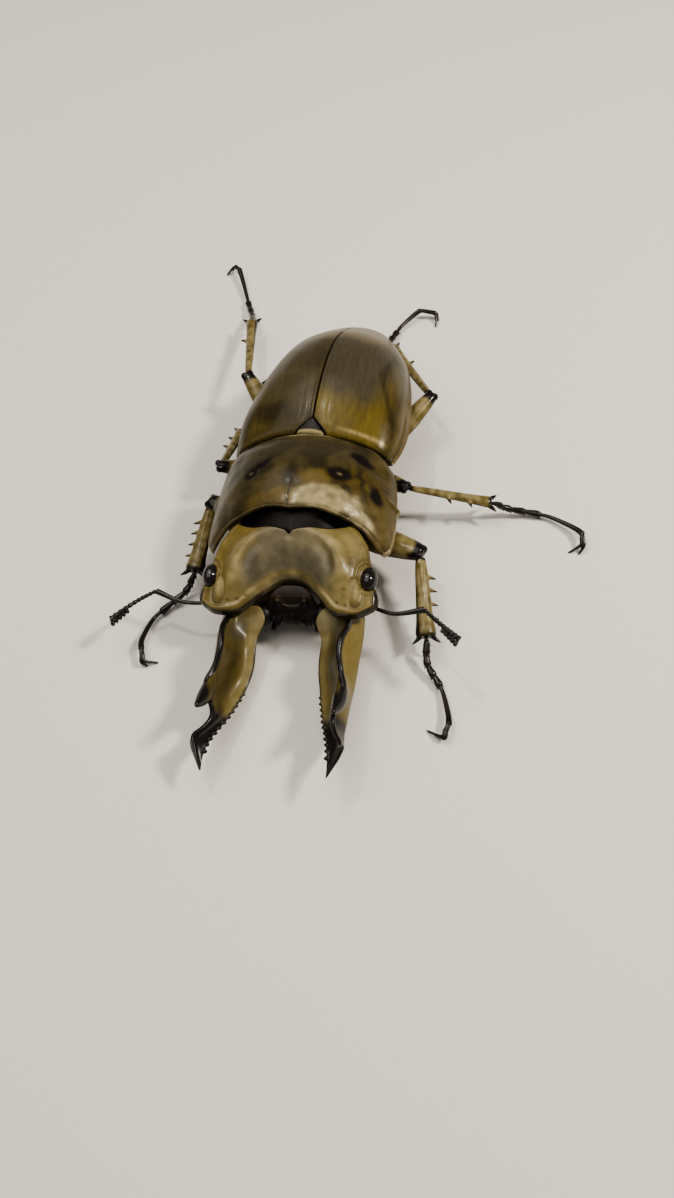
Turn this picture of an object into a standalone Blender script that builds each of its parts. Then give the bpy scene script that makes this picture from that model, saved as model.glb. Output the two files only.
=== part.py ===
"""Golden stag beetle, a large male, life size, walking with its mandibles held open.

Every size is in millimetres until a node is added. The beetle faces -Y, its left side is +X,
and all six feet stand on the floor at z = 0. Body plates are laid out in a level body frame
whose origin lies on the floor under the scutellum. The body is then rolled a little, and what
lies behind the waist is turned a little about an upright line inside the pronotum.
"""

from bisect import bisect_right
from math import cos, pi, radians, sin, tau

import bmesh
import bpy
from mathutils import Matrix, Vector

MM = 0.001
GAP = 0.3
BODY_ROLL = radians(-5)
ROLL_HEIGHT = 8.0
WAIST_TURN = radians(-4.6)
WAIST_PIVOT = (0, -4.5, 0)
SIDES = {"left": 1, "right": -1}

# Head: v runs from the rear edge (0) to the front edge (1), u from the middle (0) to the side (1).
HEAD_HALF_WIDTH = [
    (0, 7.7), (0.12, 8.7), (0.25, 9.6), (0.45, 10.1), (0.7, 10.6), (0.82, 11.3), (0.93, 11.4), (1, 10.9),
]
HEAD_REAR_Y = [(0, -16.1), (0.08, -15.75), (0.3, -15.4), (0.55, -15.0), (0.8, -14.3), (1, -13.4)]
HEAD_FRONT_Y = [
    (0, -19.7), (0.1, -19.75), (0.2, -20.3), (0.3, -21.4), (0.4, -22.9), (0.52, -24.2), (0.66, -24.8),
    (0.85, -24.8), (1, -23.7),
]
HEAD_FRONT_Z = [(0, 9.0), (0.2, 8.7), (0.4, 8.4), (0.55, 8.2), (0.66, 8.3), (0.85, 8.5), (1, 8.3)]
HEAD_TOP = 13.2
HEAD_CROWN = 0.028
HEAD_FALL = 2.2
HEAD_PLATE = 1.15
HEAD_EDGE_DROP = 0.35
HEAD_UNDERSIDE = 3.4
HEAD_BLOCK_FRONT = (0.64, 0.8)
HEAD_BLOCK_SIDE = (0.75, 1)
FRONT_RIM = 0.3

# A raised horseshoe, open to the front, round a hollow between the eyes.
HORSESHOE_CENTRE = -20.2
HORSESHOE_HALF_WIDTH = 6.7
HORSESHOE_HALF_LENGTH = 5.0
HORSESHOE_RISE = 0.5
HORSESHOE_HOLLOW = 1.0

EYE_CENTRE = (10.1, -20.2, 9.35)
EYE_RADII = (1.1, 1.65, 1.25)

# Black back of the head, between the pale plate and the pronotum.
OCCIPUT_REAR = -11.4
OCCIPUT_HALF_WIDTH = [(0, 7.3), (1, 7.5)]
OCCIPUT_TOP = [(0, 13.8), (1, 13.1)]
OCCIPUT_CROWN = 0.052
OCCIPUT_UNDERSIDE = 4.0

# Pronotum: v runs from the rear edge to the front edge.
PRONOTUM_HALF_WIDTH = [
    (0, 10.5), (0.1, 11.4), (0.3, 11.9), (0.42, 12.1), (0.47, 12.45), (0.52, 12.1), (0.7, 12.2), (0.85, 12.15),
    (0.94, 11.9), (1, 11.2),
]
PRONOTUM_REAR_Y = [(0, -0.7), (0.2, -0.85), (0.4, -1.2), (0.65, -1.6), (0.85, -1.85), (1, -2.5)]
PRONOTUM_FRONT_Y = [
    (0, -13.5), (0.25, -13.1), (0.4, -13.3), (0.6, -13.8), (0.75, -14.1), (0.87, -15.0), (0.95, -15.7),
    (1, -15.6),
]
PRONOTUM_CREST = [(0, 14.1), (0.2, 15.2), (0.5, 15.8), (0.8, 15.5), (1, 15.0)]
PRONOTUM_MARGIN = [(0, 9.2), (0.15, 8.5), (0.4, 8.0), (0.8, 7.8), (1, 8.0)]
PRONOTUM_DOME = [(0, 0.55), (0.3, 0.7), (0.7, 0.72), (1, 0.85)]
PRONOTUM_EDGE = 0.6
PRONOTUM_UNDERSIDE = 6.6

# Prosternum, the underside of the front thorax.
PROSTERNUM_Y = (-1.6, -11.0)
PROSTERNUM_HALF_WIDTH = [(0, 8.4), (0.5, 9.8), (1, 7.6)]
PROSTERNUM_WALL = 0.6
PROSTERNUM_BELLY = [(0, 3.6), (0.5, 2.9), (1, 3.6)]

# Wing cases: read along y. The front edge bows forward at the shoulders.
WING_CASE_Y = (-0.3, 26.8)
WING_CASE_HALF_WIDTH = [
    (-0.3, 10.6), (2, 11.3), (5, 11.5), (9, 11.0), (12, 10.45), (15, 9.75), (18, 8.8), (21, 7.2),
    (23.4, 5.6), (25, 4.3), (26, 3.0), (26.8, 1.4),
]
WING_CASE_CREST = [
    (-0.3, 13.5), (1, 14.3), (5, 15.6), (9, 16.2), (13.5, 15.8), (18, 14.1), (21.5, 11.6), (24, 9.5),
    (25.8, 7.8), (26.8, 6.7),
]
WING_CASE_MARGIN = [(-0.3, 9.2), (5, 8.6), (9, 8.2), (13, 7.6), (18, 7.2), (23.5, 6.7), (26.8, 6.3)]
WING_CASE_FRONT_BOW = {"left": 0.75, "right": 2.0}
WING_CASE_THICKNESS = 0.8
SHOULDER_POWER = 1.04
SCUTELLUM_HALF_WIDTH = 1.9
SCUTELLUM_Y = (-0.4, 1.7)
SCUTELLUM_THICKNESS = 0.6

# Underside of the rear thorax and the abdomen, under the wing cases.
HIND_BODY_SPLIT = 9.4
HIND_BODY_FRONT = -0.4
BELLY = [(-0.4, 3.4), (3, 2.9), (9, 2.8), (16, 3.2), (22, 4.2), (26.2, 5.6)]
STERNITES = 5
STERNITE_STEP = 0.25

# Mandible: read along y, on the left side.
MANDIBLE_ROOT, MANDIBLE_TIP = -22.3, -44.9
MANDIBLE_INNER_X = [
    (-44.9, 7.5), (-43.5, 7.5), (-42, 7.3), (-40, 6.85), (-38, 6.15), (-36, 5.6), (-34, 5.05), (-32, 4.6),
    (-30, 4.2), (-28, 4.15), (-26, 4.2), (-25, 3.8), (-24.1, 3.4), (-23.2, 3.6), (-22.3, 4.3),
]
MANDIBLE_INNER_Z = [
    (-44.9, 4.5), (-43.5, 4.9), (-42, 5.1), (-40, 4.6), (-38, 3.9), (-36, 3.3), (-34, 2.9), (-32, 2.7),
    (-30, 3.1), (-28, 3.8), (-26, 4.1), (-24.1, 3.6), (-22.3, 4.4),
]
MANDIBLE_RIDGE_X = [
    (-44.9, 7.6), (-43.5, 8.1), (-42, 8.7), (-41, 8.9), (-39.7, 8.2), (-38.5, 7.65), (-37.4, 7.45),
    (-36.3, 7.8), (-35.2, 8.4), (-34, 8.5), (-32, 7.9), (-30, 7.45), (-28, 7.55), (-26, 7.85), (-22.3, 7.6),
]
MANDIBLE_RIDGE_Z = [
    (-44.9, 4.8), (-43.7, 5.4), (-42, 5.9), (-41, 5.9), (-39.5, 5.3), (-38, 5.1), (-36.5, 5.8), (-35.2, 6.6),
    (-34, 6.8), (-32, 6.9), (-30, 7.8), (-28, 8.1), (-26.6, 7.6), (-25.5, 6.3), (-24.6, 5.5), (-22.3, 5.0),
]
MANDIBLE_OUTER_X = [
    (-44.9, 7.75), (-43.8, 8.35), (-43, 8.8), (-42.3, 9.15), (-41.3, 9.4), (-40.4, 9.1), (-39.3, 8.85),
    (-38, 8.6), (-36.5, 8.6), (-34, 8.85), (-32, 9.1), (-28, 9.3), (-25, 9.4), (-22.3, 9.2),
]
MANDIBLE_OUTER_Z = [
    (-44.9, 4.6), (-43, 5.1), (-42, 5.4), (-41.3, 5.3), (-40.5, 4.6), (-39.5, 3.7), (-38, 2.8), (-36.5, 2.5),
    (-34, 2.9), (-32, 3.4), (-28, 3.9), (-22.3, 4.2),
]
MANDIBLE_DEPTH = 0.9
MANDIBLE_HOLLOW = 0.16
MANDIBLE_STATIONS = 24
TOOTH = [
    ((8.4, -33.7, 5.7), 1.0), ((8.45, -35.7, 6.9), 0.8), ((8.4, -37.4, 8.2), 0.5), ((8.25, -39.0, 9.4), 0.1),
]
DENTICLES = 8
DENTICLE_Y = (-33.6, -42.4)
DENTICLE_LENGTH = 0.35

# Antennae, in the body frame: a long scape, an elbow, a thin shaft and a comb of short plates.
SCAPES = {
    "left": [((10.6, -22.3, 6.2), 0.28), ((13.4, -23.3, 6.6), 0.3), ((17.2, -22.8, 7.0), 0.42)],
    "right": [((-10.6, -22.3, 6.2), 0.28), ((-14.2, -22.5, 6.6), 0.3), ((-18.0, -21.2, 7.0), 0.42)],
}
CLUBS = {
    "left": [((17.7, -23.4, 7.0), 0.3), ((19.0, -24.7, 7.0), 0.32), ((21.7, -26.9, 7.0), 0.42)],
    "right": [((-18.6, -21.8, 7.0), 0.3), ((-20.3, -23.0, 7.0), 0.32), ((-23.1, -25.8, 7.0), 0.42)],
}
COMBS = 5
COMB_PITCH = 0.62
COMB_LENGTH = 1.15

# Clypeus and lip, a wide pad in the bay of the head's front edge.
MOUTH_HALF_WIDTH = [(0, 3.2), (0.5, 3.4), (0.85, 2.7), (1, 1.9)]
MOUTH_FRONT_Y = -24.0
MOUTH_TOP = [(0, 7.4), (0.3, 7.0), (0.6, 6.3), (0.85, 5.3), (1, 4.4)]
MOUTH_SIDE_FALL = 1.3
MOUTH_UNDERSIDE = 3.5
PALP = [((2.1, -21.6, 2.75), 0.42), ((2.8, -22.6, 2.4), 0.38), ((2.9, -23.7, 2.3), 0.3)]

# Legs. Hips are in the body frame, the rest is on the floor's own level frame.
COXAE = {
    "front": dict(frame="front", centre=(3.9, -9.2, 3.5), radii=(3.3, 1.7, 1.5), hip=(6.6, -9.1, 3.9)),
    "middle": dict(frame="rear", centre=(5.0, 1.6, 3.5), radii=(2.9, 1.8, 1.4), hip=(7.0, 1.2, 3.9)),
    "hind": dict(frame="rear", centre=(5.4, 7.3, 3.5), radii=(4.0, 1.7, 1.4), hip=(8.2, 8.2, 3.9)),
}
FEMUR_FLATNESS = 0.8
FEMUR_RADIUS = {"front": 1.95, "middle": 1.35, "hind": 1.4}
KNEE_RADIUS = {"front": 1.2, "middle": 0.9, "hind": 0.9}
TIBIA_RADIUS = {"front": 1.1, "middle": 0.72, "hind": 0.75}
TIBIA_SPINES = {"front": (0.23, 0.39, 0.56, 0.73), "middle": (0.47, 0.72), "hind": (0.6,)}
SPINE_REACH = 0.75
SPUR_REACH = 0.7
TARSUS_RADII = (0.32, 0.55)
CLAW_RADII = (0.34, 0.28, 0.14)
LEGS = {
    "front_left": dict(
        knee=(15.4, -12.7, 6.3), ankle=(17.35, -23.9, 3.0),
        tarsus=[(17.7, -26.3, 1.5), (19.4, -28.7, 0.75), (20.6, -31.5, 0.85), (21.1, -34.4, 1.4)],
        claw=[(20.3, -35.9, 0.9), (18.2, -34.7, 0.05)]),
    "front_right": dict(
        knee=(-13.6, -5.8, 4.9), ankle=(-14.2, -16.6, 3.0),
        tarsus=[(-15.2, -18.3, 1.5), (-17.8, -21.1, 0.75), (-19.5, -24.3, 0.85), (-19.1, -27.6, 1.4)],
        claw=[(-18.3, -29.1, 0.9), (-16.6, -28.6, 0.05)]),
    "middle_left": dict(
        knee=(12.2, -1.9, 6.0), ankle=(24.2, -1.2, 3.0),
        tarsus=[(26.2, -0.8, 1.5), (30.1, -0.8, 0.75), (33.6, -1.9, 0.85), (36.1, -4.1, 1.4)],
        claw=[(35.9, -5.7, 0.9), (34.2, -6.5, 0.05)]),
    "middle_right": dict(
        knee=(-13.2, -0.7, 6.4), ankle=(-12.6, 9.8, 2.2),
        tarsus=[(-12.3, 11.8, 1.1), (-11.6, 14.8, 0.75), (-10.8, 17.6, 0.85), (-10.2, 19.9, 1.3)],
        claw=[(-10.9, 21.3, 0.9), (-12.4, 21.0, 0.05)]),
    "hind_left": dict(
        knee=(14.2, 13.9, 6.9), ankle=(6.8, 27.8, 2.6),
        tarsus=[(6.3, 29.8, 1.4), (7.0, 32.6, 0.75), (8.3, 35.2, 0.85), (10.2, 37.0, 1.4)],
        claw=[(12.6, 36.6, 0.9), (12.8, 34.6, 0.05)]),
    "hind_right": dict(
        knee=(-12.4, 15.9, 6.9), ankle=(-15.1, 31.3, 3.2),
        tarsus=[(-15.8, 34.0, 1.6), (-17.2, 37.6, 0.75), (-18.5, 41.2, 0.85), (-19.9, 44.6, 1.4)],
        claw=[(-21.2, 45.5, 0.9), (-22.3, 44.3, 0.05)]),
}


# Small mathematics

def read(knots, x):
    """The smooth curve through the knots, read at x."""
    xs = [knot[0] for knot in knots]
    ys = [knot[1] for knot in knots]
    if x <= xs[0]:
        return ys[0]
    if x >= xs[-1]:
        return ys[-1]
    i = bisect_right(xs, x) - 1
    step = xs[i + 1] - xs[i]
    before = max(i - 1, 0)
    after = min(i + 2, len(xs) - 1)
    leaving = (ys[i + 1] - ys[before]) / (xs[i + 1] - xs[before]) * step
    arriving = (ys[after] - ys[i]) / (xs[after] - xs[i]) * step
    t = (x - xs[i]) / step
    return (
        ys[i] * (2 * t**3 - 3 * t**2 + 1)
        + leaving * (t**3 - 2 * t**2 + t)
        + ys[i + 1] * (3 * t**2 - 2 * t**3)
        + arriving * (t**3 - t**2)
    )


def mix(a, b, t):
    return a + (b - a) * t


def ramp(low, high, x):
    """0 below low, 1 above high, and a smooth step between."""
    t = min(max((x - low) / (high - low), 0), 1)
    return t * t * (3 - 2 * t)


def bump(x, width):
    """1 at x = 0, falling smoothly to 0 at either side."""
    return 1 - ramp(0, width, abs(x))


def body_frames():
    """What takes a point of the level body frame to its place over the floor."""
    pivot = Matrix.Translation((0, 0, ROLL_HEIGHT))
    front = pivot @ Matrix.Rotation(BODY_ROLL, 4, "Y") @ pivot.inverted()
    waist = Matrix.Translation(WAIST_PIVOT)
    return {
        "floor": Matrix.Identity(4),
        "front": front,
        "rear": front @ waist @ Matrix.Rotation(WAIST_TURN, 4, "Z") @ waist.inverted(),
    }


FRAMES = body_frames()


def to_side(point, side):
    return Vector((point[0] * side, point[1], point[2]))


# Shapes

def facing_out(bm):
    bmesh.ops.recalc_face_normals(bm, faces=bm.faces)
    if bm.calc_volume(signed=True) < 0:
        bmesh.ops.reverse_faces(bm, faces=bm.faces)
    return bm


def slab(across, along, place):
    """A closed slab of across x along cells. place(u, v, top) puts each corner, u in -1..1, v in 0..1."""
    bm = bmesh.new()
    bmesh.ops.create_grid(bm, x_segments=across, y_segments=along, size=1)
    raised = bmesh.ops.extrude_face_region(bm, geom=bm.faces[:], use_keep_orig=True)["geom"]
    for corner in raised:
        if isinstance(corner, bmesh.types.BMVert):
            corner.co.z = 1
    for corner in bm.verts:
        corner.co = place(corner.co.x, (corner.co.y + 1) / 2, corner.co.z > 0.5)
    return facing_out(bm)


def loft(rings):
    """A closed body through rings of equally many points, with a flat cap at each end."""
    bm = bmesh.new()
    loops = [[bm.verts.new(point) for point in ring] for ring in rings]
    for near, far in zip(loops, loops[1:]):
        for i in range(len(near)):
            j = (i + 1) % len(near)
            bm.faces.new((near[i], near[j], far[j], far[i]))
    bm.faces.new(reversed(loops[0]))
    bm.faces.new(loops[-1])
    return facing_out(bm)


def tube(stations, sides=8, flatness=1.0, up=(0, 0, 1)):
    """A body of oval rings round a line of (point, radius). flatness squeezes it along up."""
    points = [Vector(point) for point, _ in stations]
    rings = []
    for i, (_, radius) in enumerate(stations):
        ahead = points[min(i + 1, len(points) - 1)] - points[max(i - 1, 0)]
        wide = ahead.cross(Vector(up)).normalized() * radius
        high = wide.cross(ahead).normalized() * radius * flatness
        turns = [tau * k / sides for k in range(sides)]
        rings.append([points[i] + wide * cos(turn) + high * sin(turn) for turn in turns])
    return loft(rings)


def drawn(stations, count):
    """The same line of (point, radius) with count stations on a smooth curve through it."""
    last = len(stations) - 1
    columns = [[(i, stations[i][0][axis]) for i in range(last + 1)] for axis in range(3)]
    radii = [(i, stations[i][1]) for i in range(last + 1)]
    places = [last * k / (count - 1) for k in range(count)]
    return [(Vector([read(column, t) for column in columns]), read(radii, t)) for t in places]


def ball(centre, radii, segments=14, rings=8, grow=0.0):
    bm = bmesh.new()
    bmesh.ops.create_uvsphere(bm, u_segments=segments, v_segments=rings, radius=1)
    size = Matrix.Diagonal([radius + grow for radius in radii]).to_4x4()
    bmesh.ops.transform(bm, matrix=Matrix.Translation(centre) @ size, verts=bm.verts)
    return bm


def mirrored(bm, side):
    if side < 0:
        bmesh.ops.scale(bm, vec=(-1, 1, 1), verts=bm.verts)
        bmesh.ops.reverse_faces(bm, faces=bm.faces)
    return bm


def bounded_by(bm, other_pieces, operation):
    """The body joined with the other pieces, or cut by them, keeping its largest surface."""
    holder = bpy.data.collections.new("pieces")
    bpy.context.scene.collection.children.link(holder)
    for piece in other_pieces:
        helper = object_of("piece", piece)
        holder.objects.link(helper)
    subject = object_of("subject", bm)
    bpy.context.scene.collection.objects.link(subject)
    modifier = subject.modifiers.new("Boolean", "BOOLEAN")
    modifier.operation = operation
    modifier.operand_type = "COLLECTION"
    modifier.collection = holder
    modifier.solver = "EXACT"
    bpy.context.view_layer.update()
    graph = bpy.context.evaluated_depsgraph_get()
    mesh = bpy.data.meshes.new_from_object(subject.evaluated_get(graph))
    result = bmesh.new()
    result.from_mesh(mesh)
    for helper in [*holder.objects, subject]:
        data = helper.data
        bpy.data.objects.remove(helper)
        bpy.data.meshes.remove(data)
    bpy.data.collections.remove(holder)
    bpy.data.meshes.remove(mesh)
    keep_largest(result)
    return result


def join(pieces):
    return bounded_by(pieces[0], pieces[1:], "UNION")


def carve(bm, cutters):
    return bounded_by(bm, cutters, "DIFFERENCE")


def keep_largest(bm):
    """Drops every connected surface but the widest one."""
    bmesh.ops.remove_doubles(bm, verts=bm.verts, dist=0.002)
    bmesh.ops.dissolve_degenerate(bm, edges=bm.edges, dist=0.002)
    waiting = set(bm.faces)
    groups = []
    while waiting:
        group = set()
        edge_of_search = [waiting.pop()]
        while edge_of_search:
            face = edge_of_search.pop()
            group.add(face)
            near = {other for edge in face.edges for other in edge.link_faces} & waiting
            waiting -= near
            edge_of_search.extend(near)
        groups.append(group)
    widest = max(groups, key=lambda group: sum(face.calc_area() for face in group))
    stray = [face for group in groups if group is not widest for face in group]
    bmesh.ops.delete(bm, geom=stray, context="FACES")


def level_below(bm, height):
    """Cuts off what lies below the height, leaving a flat."""
    cut = bmesh.ops.bisect_plane(
        bm, geom=bm.verts[:] + bm.edges[:] + bm.faces[:], dist=0.0001,
        plane_co=(0, 0, height), plane_no=(0, 0, -1), clear_outer=True,
    )
    edges = [item for item in cut["geom_cut"] if isinstance(item, bmesh.types.BMEdge)]
    bmesh.ops.holes_fill(bm, edges=edges, sides=0)
    return bm


# Objects and materials

def object_of(name, bm):
    mesh = bpy.data.meshes.new(name)
    bm.to_mesh(mesh)
    bm.free()
    return bpy.data.objects.new(name, mesh)


def material(name, colour, roughness, metallic):
    made = bpy.data.materials.new(name)
    made.use_nodes = True
    surface = made.node_tree.nodes["Principled BSDF"]
    surface.inputs["Base Color"].default_value = (*colour, 1)
    surface.inputs["Roughness"].default_value = roughness
    surface.inputs["Metallic"].default_value = metallic
    made.diffuse_color = (*colour, 1)
    return made


class Beetle:
    """Collects the nodes, in metres, under one empty at the origin."""

    def __init__(self):
        self.collection = bpy.data.collections.new("golden_stag_beetle")
        bpy.context.scene.collection.children.link(self.collection)
        self.root = bpy.data.objects.new("stance", None)
        self.collection.objects.link(self.root)
        self.materials = {
            "gold_shell": material("gold_shell", (0.28, 0.24, 0.09), 0.25, 0.4),
            "gold_limb": material("gold_limb", (0.32, 0.27, 0.10), 0.3, 0.3),
            "black_shell": material("black_shell", (0.012, 0.010, 0.010), 0.2, 0.0),
            "brown_mouth": material("brown_mouth", (0.06, 0.025, 0.015), 0.35, 0.0),
            "belly": material("belly", (0.10, 0.075, 0.035), 0.35, 0.1),
        }

    def add(self, name, bm, slot, frame="front"):
        bmesh.ops.transform(bm, matrix=FRAMES[frame], verts=bm.verts)
        bmesh.ops.scale(bm, vec=(MM, MM, MM), verts=bm.verts)
        node = object_of(name, bm)
        node.data.materials.append(self.materials[slot])
        node.data.shade_smooth()
        node.data.set_sharp_from_angle(angle=radians(40))
        node.parent = self.root
        self.collection.objects.link(node)

    def centre(self):
        """Moves the whole beetle so that its box stands centred over the origin."""
        corners = [
            vertex.co for node in self.root.children for vertex in node.data.vertices
        ]
        for axis in (0, 1):
            values = [corner[axis] for corner in corners]
            self.root.location[axis] = -(min(values) + max(values)) / 2
        self.root.location[2] = -min(corner[2] for corner in corners)


# Head

def head_surface(u, v):
    """A point of the head's upper surface."""
    side = abs(u)
    x = u * read(HEAD_HALF_WIDTH, v)
    y = mix(read(HEAD_REAR_Y, side), read(HEAD_FRONT_Y, side), v)
    z = mix(HEAD_TOP - HEAD_CROWN * x * x, read(HEAD_FRONT_Z, side), v**HEAD_FALL)
    across = x / HORSESHOE_HALF_WIDTH
    along = (y - HORSESHOE_CENTRE) / HORSESHOE_HALF_LENGTH
    away = (across**2 + along**2) ** 0.5
    z += HORSESHOE_RISE * bump(away - 1, 0.3) * (1 - ramp(0, -0.6, along))
    z -= HORSESHOE_HOLLOW * bump(away, 1)
    z += FRONT_RIM * bump(v - 0.9, 0.12)
    return Vector((x, y, z))


def place_head(u, v, top):
    u = abs(u) ** 0.9 * (1 if u > 0 else -1)
    v = sin(v * pi / 2)
    point = head_surface(u, v)
    if top:
        point.z -= HEAD_EDGE_DROP * ramp(0.93, 1, max(abs(u), v))
        return point
    depth = (1 - ramp(*HEAD_BLOCK_SIDE, abs(u))) * (1 - ramp(*HEAD_BLOCK_FRONT, v))
    point.z = mix(point.z - HEAD_PLATE, HEAD_UNDERSIDE, depth)
    return point


def make_head(beetle):
    eyes = [ball(to_side(EYE_CENTRE, side), EYE_RADII, grow=GAP) for side in SIDES.values()]
    head = carve(slab(26, 14, place_head), eyes)
    beetle.add("head", head, "gold_shell")
    for name, side in SIDES.items():
        beetle.add(f"eye_{name}", ball(to_side(EYE_CENTRE, side), EYE_RADII), "black_shell")


def place_occiput(u, v, top):
    x = u * read(OCCIPUT_HALF_WIDTH, v)
    front = read(HEAD_REAR_Y, abs(x) / HEAD_HALF_WIDTH[0][1]) + GAP
    z = read(OCCIPUT_TOP, v) - OCCIPUT_CROWN * x * x
    return Vector((x, mix(OCCIPUT_REAR, front, v), z if top else OCCIPUT_UNDERSIDE + 0.03 * x * x))


def place_mouth(u, v, top):
    x = u * read(MOUTH_HALF_WIDTH, v)
    rear = read(HEAD_FRONT_Y, abs(x) / HEAD_HALF_WIDTH[-1][1]) - GAP - 0.1
    y = mix(rear, MOUTH_FRONT_Y, v)
    z = read(MOUTH_TOP, v) - MOUTH_SIDE_FALL * u**4
    return Vector((x, y, z if top else MOUTH_UNDERSIDE + 0.6 * u * u))


def make_mouth(beetle):
    beetle.add("mouth", slab(12, 8, place_mouth), "brown_mouth")
    for name, side in SIDES.items():
        palp = mirrored(tube(drawn(PALP, 6), 6), side)
        beetle.add(f"palp_{name}", palp, "black_shell")


def mandible_ring(y):
    """One cross-section: a hollowed inner face, a rounded ridge, an outer face and a flat underside."""
    inner = Vector((read(MANDIBLE_INNER_X, y), 0, read(MANDIBLE_INNER_Z, y)))
    ridge = Vector((read(MANDIBLE_RIDGE_X, y), 0, read(MANDIBLE_RIDGE_Z, y)))
    outer = Vector((read(MANDIBLE_OUTER_X, y), 0, read(MANDIBLE_OUTER_Z, y)))
    width = outer.x - inner.x
    depth = MANDIBLE_DEPTH * min(width / 4, 1)
    hollow = MANDIBLE_HOLLOW * (ridge.z - inner.z)
    ring = [
        inner,
        inner.lerp(ridge, 0.35) - Vector((0, 0, hollow)),
        inner.lerp(ridge, 0.75) - Vector((0, 0, hollow)),
        ridge - Vector((0.07 * width, 0, 0)),
        ridge + Vector((0.05 * width, 0, -0.01)),
        ridge.lerp(outer, 0.5) + Vector((0.04 * width, 0, 0.03 * width)),
        outer,
        outer + Vector((-0.12 * width, 0, -0.8 * depth)),
        inner + Vector((0.2 * width, 0, -depth)),
    ]
    return [point + Vector((0, y, 0)) for point in ring]


def make_mandible(beetle, name, side):
    shares = [k / MANDIBLE_STATIONS for k in range(MANDIBLE_STATIONS + 1)]
    stations = [mix(MANDIBLE_ROOT, MANDIBLE_TIP, share) for share in shares]
    pieces = [
        loft([mandible_ring(y) for y in stations]),
        tube(drawn(TOOTH, 6), 8),
    ]
    for k in range(DENTICLES):
        y = mix(*DENTICLE_Y, k / (DENTICLES - 1))
        root = Vector((read(MANDIBLE_INNER_X, y) + 0.45, y, read(MANDIBLE_INNER_Z, y) - 0.15))
        tip = root - Vector((0.45 + DENTICLE_LENGTH, 0.1, 0.05))
        pieces.append(tube([(root, 0.42), (root.lerp(tip, 0.5), 0.3), (tip, 0.08)], 5))
    beetle.add(f"mandible_{name}", mirrored(join(pieces), side), "gold_limb")


def make_antenna(beetle, name):
    beetle.add(f"antenna_{name}_scape", tube(drawn(SCAPES[name], 7), 6), "black_shell")
    pieces = [tube(drawn(CLUBS[name], 8), 6)]
    end = Vector(CLUBS[name][-1][0])
    along = (end - Vector(CLUBS[name][-2][0])).normalized()
    inward = along.cross(Vector((0, 0, SIDES[name])))
    for k in range(COMBS):
        root = end - along * COMB_PITCH * (k + 0.3)
        tip = root + inward * COMB_LENGTH + along * 0.3
        pieces.append(tube([(root, 0.2), (root.lerp(tip, 0.5), 0.27), (tip, 0.2)], 6))
    beetle.add(f"antenna_{name}_club", join(pieces), "black_shell")


# Front thorax

def pronotum_surface(u, v):
    side = abs(u)
    x = u * read(PRONOTUM_HALF_WIDTH, v)
    y = mix(read(PRONOTUM_REAR_Y, side), read(PRONOTUM_FRONT_Y, side), v)
    margin = read(PRONOTUM_MARGIN, v)
    dome = (1 - side**2.3) ** read(PRONOTUM_DOME, v)
    return Vector((x, y, mix(margin, read(PRONOTUM_CREST, v), dome)))


def place_pronotum(u, v, top):
    u = sin(u * pi / 2)
    point = pronotum_surface(u, v)
    if top:
        return point
    deep = (1 - ramp(0.8, 0.95, abs(u))) * (1 - ramp(0.74, 0.8, v))
    point.z = mix(point.z - PRONOTUM_EDGE, PRONOTUM_UNDERSIDE, deep)
    return point


def place_prosternum(u, v, top):
    u = sin(u * pi / 2)
    y = mix(*PROSTERNUM_Y, v)
    roof = PRONOTUM_UNDERSIDE - GAP
    belly = read(PROSTERNUM_BELLY, v)
    z = roof if top else mix(roof - PROSTERNUM_WALL, belly, (1 - abs(u) ** 2.6) ** 0.6)
    return Vector((u * read(PROSTERNUM_HALF_WIDTH, v), y, z))


# Rear thorax, abdomen and wing cases

def scutellum_edge(y):
    """Half the width of the scutellum's bay between the wing cases."""
    return SCUTELLUM_HALF_WIDTH * (1 - ramp(SCUTELLUM_Y[0], SCUTELLUM_Y[1] + 0.5, y))


def wing_case_point(around, y, inset, front_bow=0.0):
    """A point of the wing cases' outer surface, or of the same shape inset by some depth."""
    turn = abs(around) * pi / 2
    front, end = WING_CASE_Y
    margin = read(WING_CASE_MARGIN, y)
    half_width = max(read(WING_CASE_HALF_WIDTH, y) - inset, 0.5)
    rise = max(read(WING_CASE_CREST, y) - inset - margin, 0.02)
    x = half_width * sin(turn) ** SHOULDER_POWER
    bow = front_bow * (x / half_width) ** 2 * (1 - ramp(front, 6, y))
    return Vector((
        x if around >= 0 else -x,
        y - bow - inset * (y - front) / (end - front),
        margin + rise * max(cos(turn), 0) ** SHOULDER_POWER,
    ))


def wing_case_place(front_bow):
    def place(u, v, top):
        around = (u + 1) / 2
        y = mix(*WING_CASE_Y, sin(v * pi / 2))
        inset = 0 if top else WING_CASE_THICKNESS
        point = wing_case_point(around, y, inset, front_bow)
        edge = wing_case_point(1, y, inset).x
        point.x = mix(scutellum_edge(y) + GAP / 2, edge, point.x / edge)
        return point
    return place


def hind_body_place(y_range):
    inset = WING_CASE_THICKNESS + GAP + 0.15

    def place(u, v, top):
        y = mix(*y_range, v)
        point = wing_case_point(u, y, inset)
        if top:
            return point
        half_width = wing_case_point(1, y, inset).x
        shelf = read(WING_CASE_MARGIN, y) - 0.7
        plate = max(y - HIND_BODY_SPLIT, 0) / (WING_CASE_Y[1] - HIND_BODY_SPLIT) * STERNITES
        belly = read(BELLY, y) - STERNITE_STEP * (plate % 1)
        round_belly = max(1 - (abs(point.x) / half_width) ** 2.6, 0) ** 0.6
        point.z = min(mix(shelf, belly, round_belly), shelf)
        return point
    return place


def place_scutellum(u, v, top):
    y = mix(*SCUTELLUM_Y, v)
    x = u * max(scutellum_edge(y) - GAP / 2, 0.15)
    z = mix(14.0, 14.7, v) - 0.06 * x * x
    return Vector((x, y, z if top else z - SCUTELLUM_THICKNESS))


# Legs

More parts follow.
